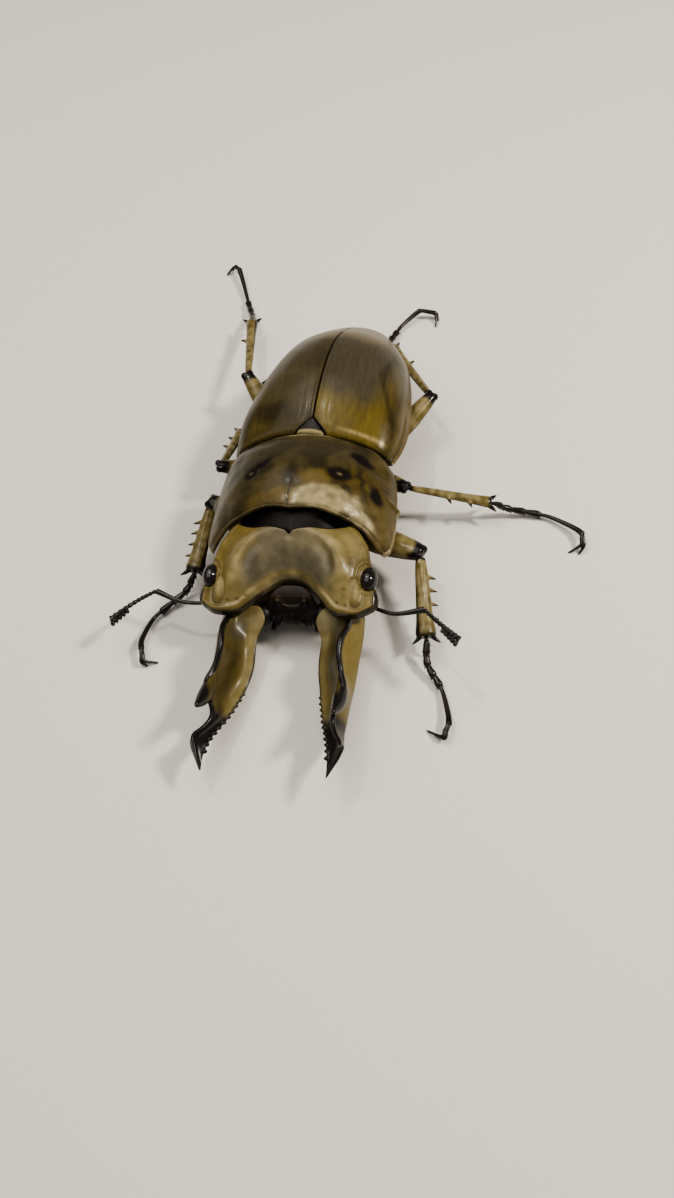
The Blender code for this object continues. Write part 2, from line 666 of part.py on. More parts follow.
def coxa_body(row, side, grow=0.0):
    shape = COXAE[row]
    return ball(to_side(shape["centre"], side), shape["radii"], 12, 8, grow)


def femur_body(row, side, leg, grow=0.0):
    hip = FRAMES[COXAE[row]["frame"]] @ to_side(COXAE[row]["hip"], side)
    knee = Vector(leg["knee"])
    thick = FEMUR_RADIUS[row]
    along = (knee - hip).normalized()
    line = [
        (hip - along * grow, 0.75 * thick + grow),
        (hip.lerp(knee, 0.12), 0.9 * thick + grow),
        (hip.lerp(knee, 0.42), thick + grow),
        (hip.lerp(knee, 0.75), mix(thick, KNEE_RADIUS[row], 0.4) + grow),
        (knee, KNEE_RADIUS[row] + grow),
        (knee + along * (0.6 + grow), 0.5 * KNEE_RADIUS[row] + grow),
    ]
    return tube(line, 10, FEMUR_FLATNESS)


def leg_cutters(row):
    """Grown copies of both coxae and femora of a row, in that row's body frame."""
    cutters = []
    for name, leg in LEGS.items():
        leg_row, side_name = name.split("_")
        if leg_row != row:
            continue
        femur = femur_body(row, SIDES[side_name], leg, GAP + 0.05)
        to_body = FRAMES[COXAE[row]["frame"]].inverted()
        bmesh.ops.transform(femur, matrix=to_body, verts=femur.verts)
        cutters += [coxa_body(row, SIDES[side_name], GAP), femur]
    return cutters


def make_coxa(beetle, name, row, side):
    beetle.add(f"{name}_coxa", coxa_body(row, side), "black_shell", COXAE[row]["frame"])


def make_femur(beetle, name, row, side, leg):
    coxa = coxa_body(row, side, GAP)
    bmesh.ops.transform(coxa, matrix=FRAMES[COXAE[row]["frame"]], verts=coxa.verts)
    femur = carve(femur_body(row, side, leg), [coxa])
    beetle.add(f"{name}_femur", femur, "gold_limb", "floor")


def make_tibia(beetle, name, row, side, leg):
    knee, ankle = Vector(leg["knee"]), Vector(leg["ankle"])
    along = (ankle - knee).normalized()
    start = knee + along * 0.6 * KNEE_RADIUS[row]
    end = ankle - along * 1.5 * GAP
    thick = TIBIA_RADIUS[row]
    line = [
        (start, 0.62 * thick),
        (start.lerp(end, 0.25), 0.8 * thick),
        (start.lerp(end, 0.75), thick),
        (start.lerp(end, 0.96), 1.15 * thick),
        (end, 0.9 * thick),
    ]
    out = along.cross(Vector((0, 0, 1))).normalized()
    if out.x * ankle.x < 0:
        out = -out
    pieces = [tube(line, 8, 0.75)]
    for share in TIBIA_SPINES[row]:
        at = start.lerp(end, share)
        tip = at + out * (thick + SPINE_REACH) + along * 0.5
        pieces.append(tube([(at + out * 0.3 * thick, 0.42), (tip, 0.08)], 5))
    for turn in (1, -1):
        at = start.lerp(end, 0.93)
        tip = end + out * turn * (thick + SPUR_REACH) + along * SPUR_REACH
        pieces.append(tube([(at + out * turn * 0.3 * thick, 0.42), (tip, 0.09)], 5))
    tibia = carve(join(pieces), [femur_body(row, side, leg, GAP)])
    beetle.add(f"{name}_tibia", tibia, "gold_limb", "floor")


def make_tarsus(beetle, name, leg):
    ankle = Vector(leg["ankle"])
    spine = drawn([(ankle, 0)] + [(Vector(point), 0) for point in leg["tarsus"]], 41)
    points = [point for point, _ in spine]
    ends = [0, 5, 10, 15, 20, 40]
    pieces = []
    for k in range(5):
        first, last = ends[k], ends[k + 1]
        middle = (first + last) // 2
        thin, thick = TARSUS_RADII if k < 4 else (0.3, 0.45)
        start = points[max(first - 1, 0)]
        line = [(start, thin), (points[middle], mix(thin, thick, 0.5)), (points[last], thick)]
        over = points[min(last + 1, 40)] + (points[last] - points[last - 1]) * 0.4
        line.append((over, 0.6 * thick))
        pieces.append(tube(line, 6, 0.9))
    toe = points[-1]
    hook, tip = [Vector(point) for point in leg["claw"]]
    sideways = (hook - toe).cross(Vector((0, 0, 1))).normalized()
    for spread in (0.1, 1.0):
        away = sideways * spread * (1 if sideways.dot(tip - toe) < 0 else -1)
        places = (toe, hook + away * 0.5, tip + away * 1.6)
        line = list(zip(places, CLAW_RADII))
        pieces.append(tube(drawn(line, 6), 5))
    beetle.add(f"{name}_tarsus", level_below(join(pieces), 0), "black_shell", "floor")


def main():
    for old in list(bpy.data.objects):
        bpy.data.objects.remove(old)
    beetle = Beetle()
    make_head(beetle)
    beetle.add("occiput", slab(14, 4, place_occiput), "black_shell")
    make_mouth(beetle)
    beetle.add("pronotum", slab(22, 14, place_pronotum), "gold_shell")
    beetle.add("prosternum", carve(slab(12, 7, place_prosternum), leg_cutters("front")), "belly")
    beetle.add("scutellum", slab(4, 4, place_scutellum), "black_shell", "rear")
    rear_thorax = slab(14, 7, hind_body_place((HIND_BODY_FRONT, HIND_BODY_SPLIT)))
    rear_thorax = carve(rear_thorax, leg_cutters("middle") + leg_cutters("hind"))
    beetle.add("rear_thorax", rear_thorax, "belly", "rear")
    abdomen = slab(14, 13, hind_body_place((HIND_BODY_SPLIT + GAP, WING_CASE_Y[1] - 0.2)))
    beetle.add("abdomen", carve(abdomen, leg_cutters("hind")), "belly", "rear")
    for name, side in SIDES.items():
        make_mandible(beetle, name, side)
        make_antenna(beetle, name)
        place = wing_case_place(WING_CASE_FRONT_BOW[name])
        wing_case = mirrored(slab(10, 15, place), side)
        beetle.add(f"wing_case_{name}", wing_case, "gold_shell", "rear")
    for leg_name, leg in LEGS.items():
        row, side_name = leg_name.split("_")
        side = SIDES[side_name]
        name = f"leg_{leg_name}"
        make_coxa(beetle, name, row, side)
        make_femur(beetle, name, row, side, leg)
        make_tibia(beetle, name, row, side, leg)
        make_tarsus(beetle, name, leg)
    beetle.centre()


main()
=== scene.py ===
import random
from bisect import bisect_right
from math import cos, pi, radians, sin, tau

import bmesh
import bpy
from mathutils import Matrix, Vector
from mathutils.noise import noise


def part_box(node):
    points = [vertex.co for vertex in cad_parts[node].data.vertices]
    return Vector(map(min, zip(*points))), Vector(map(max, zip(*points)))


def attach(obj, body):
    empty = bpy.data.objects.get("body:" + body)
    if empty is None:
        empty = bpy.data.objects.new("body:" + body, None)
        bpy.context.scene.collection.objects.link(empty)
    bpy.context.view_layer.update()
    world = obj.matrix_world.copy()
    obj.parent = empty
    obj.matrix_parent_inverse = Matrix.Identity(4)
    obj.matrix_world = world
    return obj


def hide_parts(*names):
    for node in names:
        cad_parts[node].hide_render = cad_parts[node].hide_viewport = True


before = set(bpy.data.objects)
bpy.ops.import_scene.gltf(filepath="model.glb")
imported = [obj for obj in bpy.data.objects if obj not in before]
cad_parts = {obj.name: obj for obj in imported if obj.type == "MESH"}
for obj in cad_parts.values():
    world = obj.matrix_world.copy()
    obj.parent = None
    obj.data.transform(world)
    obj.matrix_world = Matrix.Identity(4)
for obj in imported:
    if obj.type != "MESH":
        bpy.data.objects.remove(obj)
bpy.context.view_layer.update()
print("frame loaded")

mm = 0.001  # pieces are shaped in millimetres and stored in metres
sides = {"left": 1, "right": -1}
upward = Vector((0, 0, 1))


# small helpers

def eased(a, b, leaving, arriving, t):  # the way from a to b with a given slope at each end
    return (a * (2 * t**3 - 3 * t**2 + 1) + leaving * (t**3 - 2 * t**2 + t)
            + b * (3 * t**2 - 2 * t**3) + arriving * (t**3 - t**2))


def readCurve(knots, x):  # smooth curve through the knots, read at x
    xs, ys = zip(*knots)
    if x <= xs[0]:
        return ys[0]
    if x >= xs[-1]:
        return ys[-1]
    i = bisect_right(xs, x) - 1
    step = xs[i + 1] - xs[i]
    before = max(i - 1, 0)
    after = min(i + 2, len(xs) - 1)
    leaving = (ys[i + 1] - ys[before]) / (xs[i + 1] - xs[before]) * step
    arriving = (ys[after] - ys[i]) / (xs[after] - xs[i]) * step
    return eased(ys[i], ys[i + 1], leaving, arriving, (x - xs[i]) / step)


def table(knots, low, high, count=400):  # the same curve, read once and looked up after that
    values = [readCurve(knots, low + (high - low) * k / count) for k in range(count + 1)]

    def look(x):
        place = min(max((x - low) / (high - low), 0), 1) * count
        k = min(int(place), count - 1)
        return values[k] + (values[k + 1] - values[k]) * (place - k)
    return look


def mix(a, b, t):
    return a + (b - a) * t


def ramp(low, high, x):  # 0 at low and 1 at high, so it falls where low is the larger
    t = min(max((x - low) / (high - low), 0), 1)
    return t * t * (3 - 2 * t)


def hill(x, width):  # 1 at 0, fading to 0 a width away on both sides
    return 1 - ramp(0, width, abs(x))


def ovalWay(x, y, centre, radii=(1, 1)):  # 0 at an oval's centre, 1 on its edge
    return (((x - centre[0]) / radii[0]) ** 2 + ((y - centre[1]) / radii[1]) ** 2) ** 0.5


def spot(x, y, centre, radii, soft=0.5):  # 1 inside an oval patch, fading at its edge
    return 1 - ramp(1 - soft, 1 + soft, ovalWay(x, y, centre, radii))


def patches(x, y, rows):  # the sum of soft patches, each a share, a centre, radii and a softness
    return sum(share * spot(x, y, *row) for share, *row in rows)


def shares(*values):  # painted shares are kept between 0 and 1
    return [min(max(value, 0), 1) for value in values]


def toSide(point, side):
    return Vector((point[0] * side, point[1], point[2]))


# where the beetle stands

stance = {"roll": -5, "rollHeight": 8.0, "waistTurn": -4.6, "waistPivot": (0, -4.5, 0)}
eye = {"centre": (10.1, -20.2, 9.35), "radii": (1.1, 1.65, 1.25)}


def makeFrames():
    pivot = Matrix.Translation((0, 0, stance["rollHeight"]))
    front = pivot @ Matrix.Rotation(radians(stance["roll"]), 4, "Y") @ pivot.inverted()
    waist = Matrix.Translation(stance["waistPivot"])
    rear = front @ waist @ Matrix.Rotation(radians(stance["waistTurn"]), 4, "Z") @ waist.inverted()
    low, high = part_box("eye_left")
    eyeMiddle = (Vector(low) + Vector(high)) / 2 / mm
    shift = Matrix.Translation(eyeMiddle - front @ Vector(eye["centre"]))
    return {"floor": shift, "front": shift @ front, "rear": shift @ rear}


frames = makeFrames()


# shaping

def faceOut(bm):
    bmesh.ops.recalc_face_normals(bm, faces=bm.faces)
    if bm.calc_volume(signed=True) < 0:
        bmesh.ops.reverse_faces(bm, faces=bm.faces)
    return bm


def shell(across, along, place, relief=None):  # a grid with a wall under it, both laid over a shape
    bm = bmesh.new()
    bmesh.ops.create_grid(bm, x_segments=across, y_segments=along, size=1)
    raised = bmesh.ops.extrude_face_region(bm, geom=bm.faces[:], use_keep_orig=True)["geom"]
    for corner in raised:
        if isinstance(corner, bmesh.types.BMVert):
            corner.co.z = 1
    spots = [(v, v.co.x, (v.co.y + 1) / 2, v.co.z > 0.5) for v in bm.verts]
    for corner, u, v, top in spots:
        corner.co = place(u, v, top)
    faceOut(bm)
    if relief:
        bm.normal_update()
        moves = [(corner, corner.normal * relief(u, v, corner.co)) for corner, u, v, top in spots if top]
        for corner, move in moves:
            corner.co += move
    bmesh.ops.remove_doubles(bm, verts=bm.verts, dist=0.002)
    return faceOut(bm)


def wrapped(around, along, place):  # a grid rolled into a closed tube
    bm = bmesh.new()
    bmesh.ops.create_grid(bm, x_segments=around, y_segments=along, size=1)
    for corner in bm.verts:
        corner.co = place((corner.co.x + 1) / 2, (corner.co.y + 1) / 2)
    bmesh.ops.remove_doubles(bm, verts=bm.verts, dist=0.001)
    rims = [edge for edge in bm.edges if edge.is_boundary]
    bmesh.ops.holes_fill(bm, edges=rims, sides=0)
    return faceOut(bm)


def pathThrough(points):  # a smooth curve through the points, read from 0 to 1
    last = len(points) - 1
    columns = [table([(i, point[axis]) for i, point in enumerate(points)], 0, last) for axis in range(3)]
    return lambda t: Vector([column(t * last) for column in columns])


def taper(start, end, sizes):  # stations on a straight line, from pairs of a share of the way and a radius
    return [(start.lerp(end, share), radius) for share, radius in sizes]


def limb(stations, around=16, along=24, flat=1.0, up=(0, 0, 1)):  # a smooth rod, from points with radii
    last = len(stations) - 1
    middle = pathThrough([point for point, size in stations])
    radius = table([(i, size) for i, (point, size) in enumerate(stations)], 0, last)

    def place(u, v):
        closed = min(v, 1 - v) * along < 0.5  # the last ring at each end closes to a point
        v = min(max(v, 0), 1)
        ahead = middle(min(v + 0.01, 1)) - middle(max(v - 0.01, 0))
        wide = ahead.cross(Vector(up)).normalized()
        high = wide.cross(ahead).normalized() * flat
        size = radius(v * last) * (0.02 if closed else 1)
        return middle(v) + (wide * cos(u * tau) + high * sin(u * tau)) * size
    return wrapped(around, along, place)


def ball(centre, radii, segments=48, rings=32):
    bm = bmesh.new()
    bmesh.ops.create_uvsphere(bm, u_segments=segments, v_segments=rings, radius=1)
    sized = Matrix.Translation(centre) @ Matrix.Diagonal(radii).to_4x4()
    bmesh.ops.transform(bm, matrix=sized, verts=bm.verts)
    return bm


def gathered(parts):  # several closed shapes in one bmesh
    whole = bmesh.new()
    for part in parts:
        mesh = bpy.data.meshes.new("part")
        part.to_mesh(mesh)
        part.free()
        whole.from_mesh(mesh)
        bpy.data.meshes.remove(mesh)
    return whole


def fused(parts, voxel, smooth=3):  # melts closed shapes into one skin with soft joins
    mesh = bpy.data.meshes.new("melt")
    whole = gathered(parts)
    whole.to_mesh(mesh)
    whole.free()
    melt = bpy.data.objects.new("melt", mesh)
    bpy.context.scene.collection.objects.link(melt)
    remesh = melt.modifiers.new("Remesh", "REMESH")
    remesh.mode = "VOXEL"
    remesh.voxel_size = voxel
    bpy.context.view_layer.update()
    graph = bpy.context.evaluated_depsgraph_get()
    result = bpy.data.meshes.new_from_object(melt.evaluated_get(graph))
    bm = bmesh.new()
    bm.from_mesh(result)
    bpy.data.objects.remove(melt)
    bpy.data.meshes.remove(mesh)
    bpy.data.meshes.remove(result)
    for _ in range(smooth):
        bmesh.ops.smooth_vert(
            bm, verts=bm.verts, factor=0.5, use_axis_x=True, use_axis_y=True, use_axis_z=True)
    return faceOut(bm)


def mirrored(bm, side):
    if side < 0:
        bmesh.ops.scale(bm, vec=(-1, 1, 1), verts=bm.verts)
        bmesh.ops.reverse_faces(bm, faces=bm.faces)
    return bm


def finishPiece(name, bm, where, finish, nodes, paint=None):
    layer = bm.verts.layers.float_color.new("paint")  # black, painted grey sheen, pale colour with painted highlights, and gold shares
    bm.normal_update()
    for corner in bm.verts:
        corner[layer] = paint(corner.co, corner.normal) if paint else (0, 0, 0, 0)
    bmesh.ops.transform(bm, matrix=frames[where], verts=bm.verts)
    bmesh.ops.scale(bm, vec=(mm, mm, mm), verts=bm.verts)
    mesh = bpy.data.meshes.new(name)
    bm.to_mesh(mesh)
    bm.free()
    piece = bpy.data.objects.new(name, mesh)
    bpy.context.scene.collection.objects.link(piece)
    mesh.shade_smooth()
    mesh.set_sharp_from_angle(angle=radians(55))
    material, slot = finishes[finish]
    mesh.materials.append(material)
    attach(piece, "root")
    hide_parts(*nodes)


# finishes

def addNode(tree, kind, sources=None, **settings):  # sources are the outputs linked to its inputs
    node = tree.nodes.new(kind)
    for key, value in settings.items():
        if key in node.inputs:
            node.inputs[key].default_value = value
        else:
            setattr(node, key, value)
    for key, output in (sources or {}).items():
        tree.links.new(output, node.inputs[key])
    return node


def cloudRamp(tree, source, stops, colours):
    made = addNode(tree, "ShaderNodeValToRGB", {"Fac": source})
    while len(made.color_ramp.elements) < len(stops):
        made.color_ramp.elements.new(0.5)
    for element, place, colour in zip(made.color_ramp.elements, stops, colours):
        element.position = place
        element.color = (*colour, 1)
    return made.outputs["Color"]


def blended(tree, share, first, second, way="MIX", kind="RGBA"):
    made = addNode(tree, "ShaderNodeMix", data_type=kind, blend_type=way)
    low, high, result = (6, 7, 2) if kind == "RGBA" else (2, 3, 0)  # this kind's own sockets
    for socket, value in ((0, share), (low, first), (high, second)):
        if isinstance(value, bpy.types.NodeSocket):
            tree.links.new(value, made.inputs[socket])
        else:
            made.inputs[socket].default_value = (*value, 1) if isinstance(value, tuple) else value
    return made.outputs[result]


def shellFinish(name, look):
    made = bpy.data.materials.new(name)
    made.use_nodes = True
    tree = made.node_tree
    surface = tree.nodes["Principled BSDF"]

    def textured(at, **settings):
        return addNode(tree, "ShaderNodeTexNoise", {"Vector": at}, **settings).outputs["Fac"]

    def scaled(at, scale):
        return addNode(tree, "ShaderNodeMapping", {"Vector": at}, Scale=scale).outputs["Vector"]

    inMm = scaled(addNode(tree, "ShaderNodeTexCoord").outputs["Object"], (1000, 1000, 1000))
    clouds = textured(inMm, Scale=look["cloudScale"], Detail=4, Roughness=0.55, Distortion=0.7)
    streaks = textured(scaled(inMm, look["streakScale"]), Scale=1, Detail=3, Roughness=0.6)
    grain = textured(inMm, Scale=look["grainScale"], Detail=3, Roughness=0.6)
    paint = addNode(tree, "ShaderNodeAttribute", attribute_name="paint")
    black, grey, pale = addNode(tree, "ShaderNodeSeparateColor", {"Color": paint.outputs["Color"]}).outputs
    colour = cloudRamp(tree, clouds, look["stops"], look["clouds"])
    # the grey share lays a painted sheen over the colour; the pale share holds pale colour and painted
    # highlights
    for share, layer in ((paint.outputs["Alpha"], "gold"), (grey, "grey"), (pale, "pale")):
        colour = blended(tree, share, colour, look[layer])
    streakTone = cloudRamp(tree, streaks, (0.36, 0.62), ((0.5, 0.47, 0.4), (1.25, 1.22, 1.1)))
    colour = blended(tree, look["streakShare"], colour, streakTone, "MULTIPLY")
    dull, rough = look["roughness"]
    shine = addNode(tree, "ShaderNodeMapRange", {"Value": grain},
                    **{"From Min": 0.3, "From Max": 0.7, "To Min": dull, "To Max": rough}).outputs["Result"]
    low = addNode(tree, "ShaderNodeBump", {"Height": streaks}, Strength=look["streakBump"], Distance=0.0001)
    fine = addNode(tree, "ShaderNodeBump", {"Height": grain, "Normal": low.outputs["Normal"]},
                   Strength=look["grainBump"], Distance=0.0001)
    for socket, output in {
        "Base Color": blended(tree, black, colour, look["black"]),
        "Metallic": blended(tree, black, look["metallic"], 0.0, kind="FLOAT"),
        "Roughness": blended(tree, black, shine, look["blackRoughness"], kind="FLOAT"),
        "Normal": fine.outputs["Normal"],
    }.items():
        tree.links.new(output, surface.inputs[socket])
    for socket, value in {
        "Specular IOR Level": look["specular"], "Coat Weight": look["coat"],
        "Coat Roughness": look["coatRoughness"], "Coat IOR": 1.45,
    }.items():
        surface.inputs[socket].default_value = value
    return made


# in each look the grey colour is that of a painted sheen, and the pale colour also serves painted
# highlights
headLook = {
    "stops": (0.34, 0.5, 0.66),
    "clouds": ((0.052, 0.037, 0.007), (0.092, 0.066, 0.014), (0.135, 0.099, 0.026)),
    "gold": (0.100, 0.067, 0.008), "grey": (0.098, 0.083, 0.052), "pale": (0.27, 0.215, 0.095),
    "black": (0.0035, 0.0025, 0.0025), "cloudScale": 0.2, "grainScale": 5.0, "streakScale": (0.9, 0.9, 0.9),
    "streakShare": 0.3, "streakBump": 0.12, "grainBump": 0.04, "metallic": 0.08, "roughness": (0.3, 0.4),
    "blackRoughness": 0.17, "specular": 0.13, "coat": 0.07, "coatRoughness": 0.11,
}
pronotumLook = {
    **headLook, "clouds": ((0.010, 0.007, 0.002), (0.020, 0.014, 0.003), (0.037, 0.028, 0.007)),
    "gold": (0.070, 0.045, 0.004), "grey": (0.023, 0.018, 0.010), "pale": (0.25, 0.20, 0.095),
    "roughness": (0.26, 0.34), "specular": 0.09, "coat": 0.06,
}
wingLook = {
    **headLook, "clouds": ((0.018, 0.012, 0.003), (0.034, 0.024, 0.005), (0.053, 0.038, 0.009)),
    "gold": (0.080, 0.056, 0.003), "grey": (0.036, 0.029, 0.018), "pale": (0.24, 0.175, 0.062),
    "streakScale": (2.6, 0.16, 2.6), "streakShare": 0.35, "roughness": (0.27, 0.34), "specular": 0.09,
    "coat": 0.03,
}
jawLook = {
    **headLook, "clouds": ((0.021, 0.014, 0.003), (0.042, 0.030, 0.006), (0.070, 0.052, 0.012)),
    "gold": (0.130, 0.092, 0.013), "grey": (0.046, 0.040, 0.032), "pale": (0.150, 0.118, 0.042),
    "cloudScale": 0.35, "streakScale": (1.4, 0.5, 1.4), "roughness": (0.28, 0.36), "coat": 0.04,
    "blackRoughness": 0.27,
}
limbLook = {
    **headLook, "clouds": ((0.029, 0.021, 0.004), (0.058, 0.043, 0.010), (0.102, 0.078, 0.022)),
    "cloudScale": 0.3, "streakScale": (1.6, 1.6, 1.6), "roughness": (0.24, 0.34), "coat": 0.1,
}
blackLook = {
    **headLook, "stops": (0.3, 0.5, 0.7),
    "clouds": ((0.0025, 0.002, 0.002), (0.005, 0.0035, 0.003), (0.010, 0.007, 0.005)),
    "streakScale": (3, 3, 3), "metallic": 0.0, "roughness": (0.2, 0.28), "specular": 0.2, "coat": 0.0,
}
mouthLook = {
    **blackLook, "clouds": ((0.004, 0.002, 0.001), (0.009, 0.004, 0.0015), (0.017, 0.008, 0.003)),
    "cloudScale": 0.5, "streakScale": (2, 2, 2), "roughness": (0.3, 0.4), "blackRoughness": 0.4,
    "specular": 0.12,
}
neckLook = {**blackLook, "roughness": (0.3, 0.4), "specular": 0.07}
eyeLook = {**blackLook, "streakBump": 0.0, "grainBump": 0.0, "roughness": (0.08, 0.1), "specular": 0.3}
bellyLook = {
    **headLook, "stops": (0.3, 0.5, 0.7),
    "clouds": ((0.03, 0.019, 0.008), (0.075, 0.05, 0.018), (0.14, 0.1, 0.035)),
    "cloudScale": 0.35, "streakScale": (1.4, 1.4, 1.4), "streakBump": 0.3, "grainBump": 0.12,
    "metallic": 0.25, "roughness": (0.28, 0.42), "coat": 0.2,
}
finishes = {  # each paired with the name of a slot
    name: (shellFinish(name, look), slot) for name, look, slot in (
        ("headShell", headLook, "gold_shell"), ("pronotumShell", pronotumLook, "gold_shell"),
        ("wingShell", wingLook, "gold_shell"), ("jawShell", jawLook, "gold_limb"),
        ("goldLimb", limbLook, "gold_limb"), ("blackShell", blackLook, "black_shell"),
        ("neckSkin", neckLook, "black_shell"), ("eyeShell", eyeLook, "black_shell"),
        ("brownMouth", mouthLook, "brown_mouth"), ("bellyShell", bellyLook, "belly"))}
print("finishes made")


# head

head = {
    "halfWidth": [(0, 7.7), (0.12, 8.7), (0.25, 9.6), (0.45, 10.1), (0.7, 10.6), (0.82, 11.3), (0.93, 11.4),
                  (1, 10.9)],
    "rearY": [(0, -16.1), (0.08, -15.75), (0.3, -15.4), (0.55, -15.0), (0.8, -14.3), (1, -13.4)],
    "frontY": [(0, -19.7), (0.1, -19.75), (0.2, -20.3), (0.3, -21.4), (0.4, -22.9), (0.52, -24.2),
               (0.66, -24.8), (0.85, -24.8), (1, -23.7)],
    "frontZ": [(0, 9.0), (0.2, 8.7), (0.4, 8.4), (0.55, 8.2), (0.66, 8.3), (0.85, 8.5), (1, 8.3)],
    "top": 13.2, "crown": 0.028, "fall": 2.2, "plate": 1.15, "underside": 3.4,
    "blockFront": (0.64, 0.8), "blockSide": (0.75, 1),
    "horseshoe": (-20.2, 6.7, 5.0), "horseshoeRise": 0.5, "hollow": 1.0,
    "rimRise": 0.17, "rimAt": 0.4, "rimWidth": 0.42, "edgeRound": 0.3,
    "ridge": (8.75, -22.5), "ridgeHalf": (0.5, 1.35), "ridgeRise": 0.28, "ridgeGroove": 0.1,
    "pits": [(-7.4, -23.7), (-6.2, -23.5), (-5.2, -22.9), (6.4, -23.6), (7.3, -22.3), (7.5, -23.9)],
    "palePatches": [(0.3, (5.4, -16.4), (4.2, 1.5), 0.6), (0.3, (6.8, -22.9), (3.0, 1.7), 0.7),
                    (0.18, (-7.0, -22.8), (3.0, 1.7), 0.7)],
    "goldPatches": [(0.35, (-7.4, -16.5), (2.6, 3.2), 0.6)],
    # the dark patches are painted shade on the inner slopes of the raised ring
    "darkPatches": [(0.5, (-4.4, -19.6), (0.9, 1.7), 0.7), (0.45, (5.6, -19.0), (0.5, 1.1), 0.7)],
    "across": 180, "along": 100,
}
headWidth, headRear, headFront, headFrontZ = (
    table(head[key], 0, 1) for key in ("halfWidth", "rearY", "frontY", "frontZ"))
frontHalfWidth = head["halfWidth"][-1][1]
rearHalfWidth = head["halfWidth"][0][1]


def rolled(distance, radius):  # how far a rounded edge falls below a sharp one
    t = 1 - min(max(distance, 0) / radius, 1)
    return radius * (1 - (1 - t * t) ** 0.5)


def horseshoeAway(x, y):
    centre, halfWidth, halfLength = head["horseshoe"]
    return ovalWay(x, y, (0, centre), (halfWidth, halfLength)), (y - centre) / halfLength


def toHeadFront(side, y):  # the straight way to the front edge, which runs at a slant round the bay
    slope = (headFront(side + 0.02) - headFront(side - 0.02)) / (0.04 * frontHalfWidth)
    return (y - headFront(side)) / (1 + slope * slope) ** 0.5


def headGrid(u, v):
    u = abs(u) ** 0.9 * (1 if u > 0 else -1)
    return mix(u, sin(u * pi / 2), 0.5), sin(v * pi / 2)


def placeHead(u, v, top):
    u, v = headGrid(u, v)
    side = abs(u)
    x = u * headWidth(v)
    y = mix(headRear(side), headFront(side), v)
    z = mix(head["top"] - head["crown"] * x * x, headFrontZ(side), v ** head["fall"])
    away, along = horseshoeAway(x, y)
    z += head["horseshoeRise"] * hill(away - 1, 0.3) * ramp(-0.6, 0, along)
    z -= head["hollow"] * hill(away, 1)
    edge = min((1 - side) * headWidth(v), toHeadFront(side, y), (headRear(side) - y) * 1.5)
    fall = rolled(edge, head["edgeRound"])
    if top:
        return Vector((x, y, z - fall))
    depth = (1 - ramp(*head["blockSide"], side)) * (1 - ramp(*head["blockFront"], v))
    return Vector((x, y, mix(z - head["plate"] + fall, head["underside"], depth)))


def headRelief(u, v, point):
    u, v = headGrid(u, v)
    side, x, y = abs(u), abs(point.x), point.y
    away, along = horseshoeAway(x, y)
    rise = head["rimRise"] * hill(toHeadFront(side, y) - head["rimAt"], head["rimWidth"])
    rise *= ramp(1, 0.86, side)
    rise += 0.1 * hill((1 - side) * headWidth(v) - 0.5, 0.4)
    rise -= 0.16 * hill(away - 0.82, 0.14) * ramp(2.5, 4.5, x) * ramp(-0.3, 0.2, along)
    rise -= 0.22 * hill(point.x, 0.45) * hill(y + 16.2, 0.9)
    halfWide, halfLong = head["ridgeHalf"]
    alongRidge = max(abs(y - head["ridge"][1]) - 0.7, 0)
    offRidge = ovalWay(x, alongRidge, (head["ridge"][0], 0), (halfWide, halfLong - 0.7))
    rise += head["ridgeRise"] * hill(offRidge, 1.1) - head["ridgeGroove"] * hill(offRidge - 1.5, 0.6)
    fromEye = ovalWay(x + 0.15, y, eye["centre"], eye["radii"])
    rise += 0.09 * hill(fromEye - 1.22, 0.25) - 0.12 * hill(fromEye - 0.98, 0.15)
    rise -= sum(0.12 * hill(ovalWay(point.x, y, pit), 0.32) for pit in head["pits"])
    return rise + 0.035 * noise(point * 0.8) + 0.012 * noise(point * 2.3)


